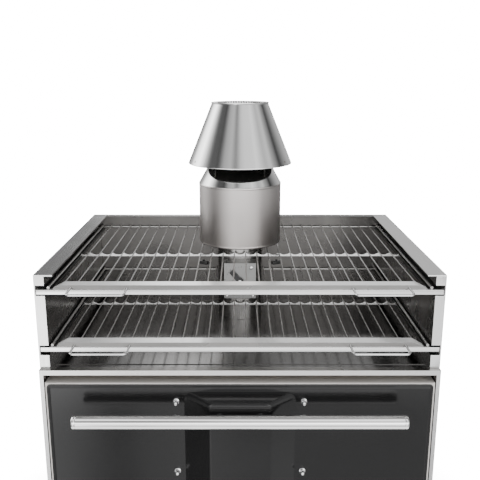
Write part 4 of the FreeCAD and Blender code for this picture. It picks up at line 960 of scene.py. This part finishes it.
def world():
    w = bpy.data.worlds.new("studio")
    scene.world = w
    w.use_nodes = True
    nt = w.node_tree
    nt.nodes.clear()
    link = nt.links.new

    def op(kind, a, b=None, clamp=False):
        m = nt.nodes.new("ShaderNodeMath")
        m.operation = kind
        m.use_clamp = clamp
        for s, v in zip(m.inputs, (a, b)):
            if v is None:
                continue
            if isinstance(v, (int, float)):
                s.default_value = v
            else:
                link(v, s)
        return m.outputs[0]

    def step(v, a, b, c=0.0, d=1.0):
        m = nt.nodes.new("ShaderNodeMapRange")
        m.interpolation_type = "SMOOTHSTEP"
        link(v, m.inputs["Value"])
        for k, x in zip(("From Min", "From Max", "To Min", "To Max"), (a, b, c, d)):
            m.inputs[k].default_value = x
        return m.outputs["Result"]

    def bands(unit, stops):
        ramp = nt.nodes.new("ShaderNodeValToRGB")
        e = ramp.color_ramp.elements
        while len(e) > 1:
            e.remove(e[0])
        for k, (a, v) in enumerate(stops):
            p = (a + 180) / 360.0
            el = e[0] if k == 0 else e.new(p)
            el.position = p
            el.color = (v / 5.0, v / 5.0, v / 5.0, 1)
        link(unit, ramp.inputs[0])
        sc = nt.nodes.new("ShaderNodeSeparateColor")
        link(ramp.outputs[0], sc.inputs[0])
        return op("MULTIPLY", sc.outputs[0], 5.0)

    def blend(f, a, b):
        mix = nt.nodes.new("ShaderNodeMix")
        mix.data_type = "FLOAT"
        link(f, mix.inputs["Factor"])
        for s, v in ((mix.inputs["A"], a), (mix.inputs["B"], b)):
            if isinstance(v, (int, float)):
                s.default_value = v
            else:
                link(v, s)
        return mix.outputs["Result"]

    out = nt.nodes.new("ShaderNodeOutputWorld")
    co = nt.nodes.new("ShaderNodeTexCoord")
    sep = nt.nodes.new("ShaderNodeSeparateXYZ")
    link(co.outputs["Generated"], sep.inputs[0])
    az = op("ARCTAN2", sep.outputs["X"], op("MULTIPLY", sep.outputs["Y"], -1.0))
    unit = op("ADD", op("DIVIDE", az, 2 * pi), 0.5)
    z = sep.outputs["Z"]
    absaz = op("ABSOLUTE", az)
    base = blend(step(z, -0.02, -0.16), bands(unit, STUDIO), op("MULTIPLY", bands(unit, STUDIO_LOW), step(z, -0.19, -0.32, 1.08, 0.66)))
    # a low, wide strip of light in front, and a stronger one to its left
    height = op("MULTIPLY", step(z, -0.27, -0.32), step(z, -0.455, -0.42))
    base = op("ADD", base, op("MULTIPLY", op("MULTIPLY", step(absaz, math.radians(40), math.radians(2)), height), 1.5))
    left = op("MULTIPLY", step(az, math.radians(-34), math.radians(-22)), step(az, math.radians(-12.5), math.radians(-16)))
    base = op("ADD", base, op("MULTIPLY", op("MULTIPLY", left, height), 3.6))
    base = blend(step(z, -0.42, -0.445), base, bands(unit, STUDIO_DOOR))
    base = blend(step(z, -0.66, -0.76), base, 2.0)
    window = op("MULTIPLY", op("MULTIPLY", step(z, -0.14, -0.04), step(z, 0.40, 0.20)), step(absaz, math.radians(70), math.radians(35)))
    base = op("ADD", base, op("MULTIPLY", window, 3.2))
    base = blend(step(z, 0.72, 0.86), base, 0.42)
    skylight = op("MULTIPLY", op("MULTIPLY", step(z, 0.78, 0.84), step(z, 0.95, 0.91)), step(absaz, math.radians(80), math.radians(60)))
    base = op("ADD", base, op("MULTIPLY", skylight, 2.2))
    light = nt.nodes.new("ShaderNodeBackground")
    link(base, light.inputs["Strength"])
    light.inputs["Color"].default_value = (1, 1, 1, 1)
    white = nt.nodes.new("ShaderNodeBackground")
    white.inputs["Color"].default_value = (1, 1, 1, 1)
    white.inputs["Strength"].default_value = 18.0
    lp = nt.nodes.new("ShaderNodeLightPath")
    ms = nt.nodes.new("ShaderNodeMixShader")
    link(lp.outputs["Is Camera Ray"], ms.inputs[0])
    link(light.outputs[0], ms.inputs[1])
    link(white.outputs[0], ms.inputs[2])
    link(ms.outputs[0], out.inputs[0])


world()


def area(name, loc, target, size, power, color=(1, 1, 1), size_y=None):
    l = bpy.data.lights.new(name, "AREA")
    l.energy = power
    l.color = color
    l.size = size
    if size_y:
        l.shape = "RECTANGLE"
        l.size_y = size_y
    o = bpy.data.objects.new(name, l)
    o.location = loc
    o.rotation_euler = (Vector(target) - Vector(loc)).to_track_quat("-Z", "Y").to_euler()
    scene.collection.objects.link(o)
    o.visible_camera = False
    o.visible_glossy = False
    return o


area("key", (-1.6, -2.2, 3.2), (0, 0, 0.8), 1.8, 60, size_y=1.8)
area("fill", (2.4, -1.8, 2.2), (0, 0, 0.7), 1.6, 25)
area("top", (0, 0.4, 3.4), (0, 0, 0.9), 2.4, 40)

bm = bmesh.new()
bmesh.ops.create_grid(bm, x_segments=2, y_segments=2, size=9.0)
me = bpy.data.meshes.new("floor")
bm.to_mesh(me)
bm.free()
floor = bpy.data.objects.new("floor", me)
floor.location = (0, 0, -0.0008)
scene.collection.objects.link(floor)
fm = bpy.data.materials.new("floor_pale")
fm.use_nodes = True
nt = fm.node_tree
nt.nodes.clear()
fo = nt.nodes.new("ShaderNodeOutputMaterial")
fd = nt.nodes.new("ShaderNodeBsdfDiffuse")
fd.inputs["Color"].default_value = (0.72, 0.72, 0.72, 1)
# the floor glows for camera rays: strength 2.5 within 0.45 m of the centre rising to 18 beyond 0.95 m, a painted soft
# shade round the object where real contact shadows also show
floor_glow = nt.nodes.new("ShaderNodeEmission")
fc = nt.nodes.new("ShaderNodeTexCoord")
fv = nt.nodes.new("ShaderNodeVectorMath")
fv.operation = "LENGTH"
floor_glow_falloff = nt.nodes.new("ShaderNodeMapRange")
floor_glow_falloff.interpolation_type = "SMOOTHSTEP"
for k, v in zip(("From Min", "From Max", "To Min", "To Max"), (0.45, 0.95, 2.5, 18.0)):
    floor_glow_falloff.inputs[k].default_value = v
nt.links.new(fc.outputs["Object"], fv.inputs[0])
nt.links.new(fv.outputs["Value"], floor_glow_falloff.inputs["Value"])
nt.links.new(floor_glow_falloff.outputs["Result"], floor_glow.inputs["Strength"])
fl = nt.nodes.new("ShaderNodeLightPath")
fx = nt.nodes.new("ShaderNodeMixShader")
fa = nt.nodes.new("ShaderNodeAddShader")
nt.links.new(fl.outputs["Is Camera Ray"], fx.inputs[0])
nt.links.new(fd.outputs[0], fx.inputs[1])
nt.links.new(fd.outputs[0], fa.inputs[0])
nt.links.new(floor_glow.outputs[0], fa.inputs[1])
nt.links.new(fa.outputs[0], fx.inputs[2])
nt.links.new(fx.outputs[0], fo.inputs[0])
floor.visible_glossy = False
me.materials.append(fm)

cam = bpy.data.cameras.new("camera")
cam.lens = 50
cam.sensor_width = 36
cam.clip_end = 60
co = bpy.data.objects.new("camera", cam)
co.location = (0.0, -1.627, 1.334)
co.rotation_euler = (math.radians(90 - 14.2), 0, 0)
scene.collection.objects.link(co)
scene.camera = co
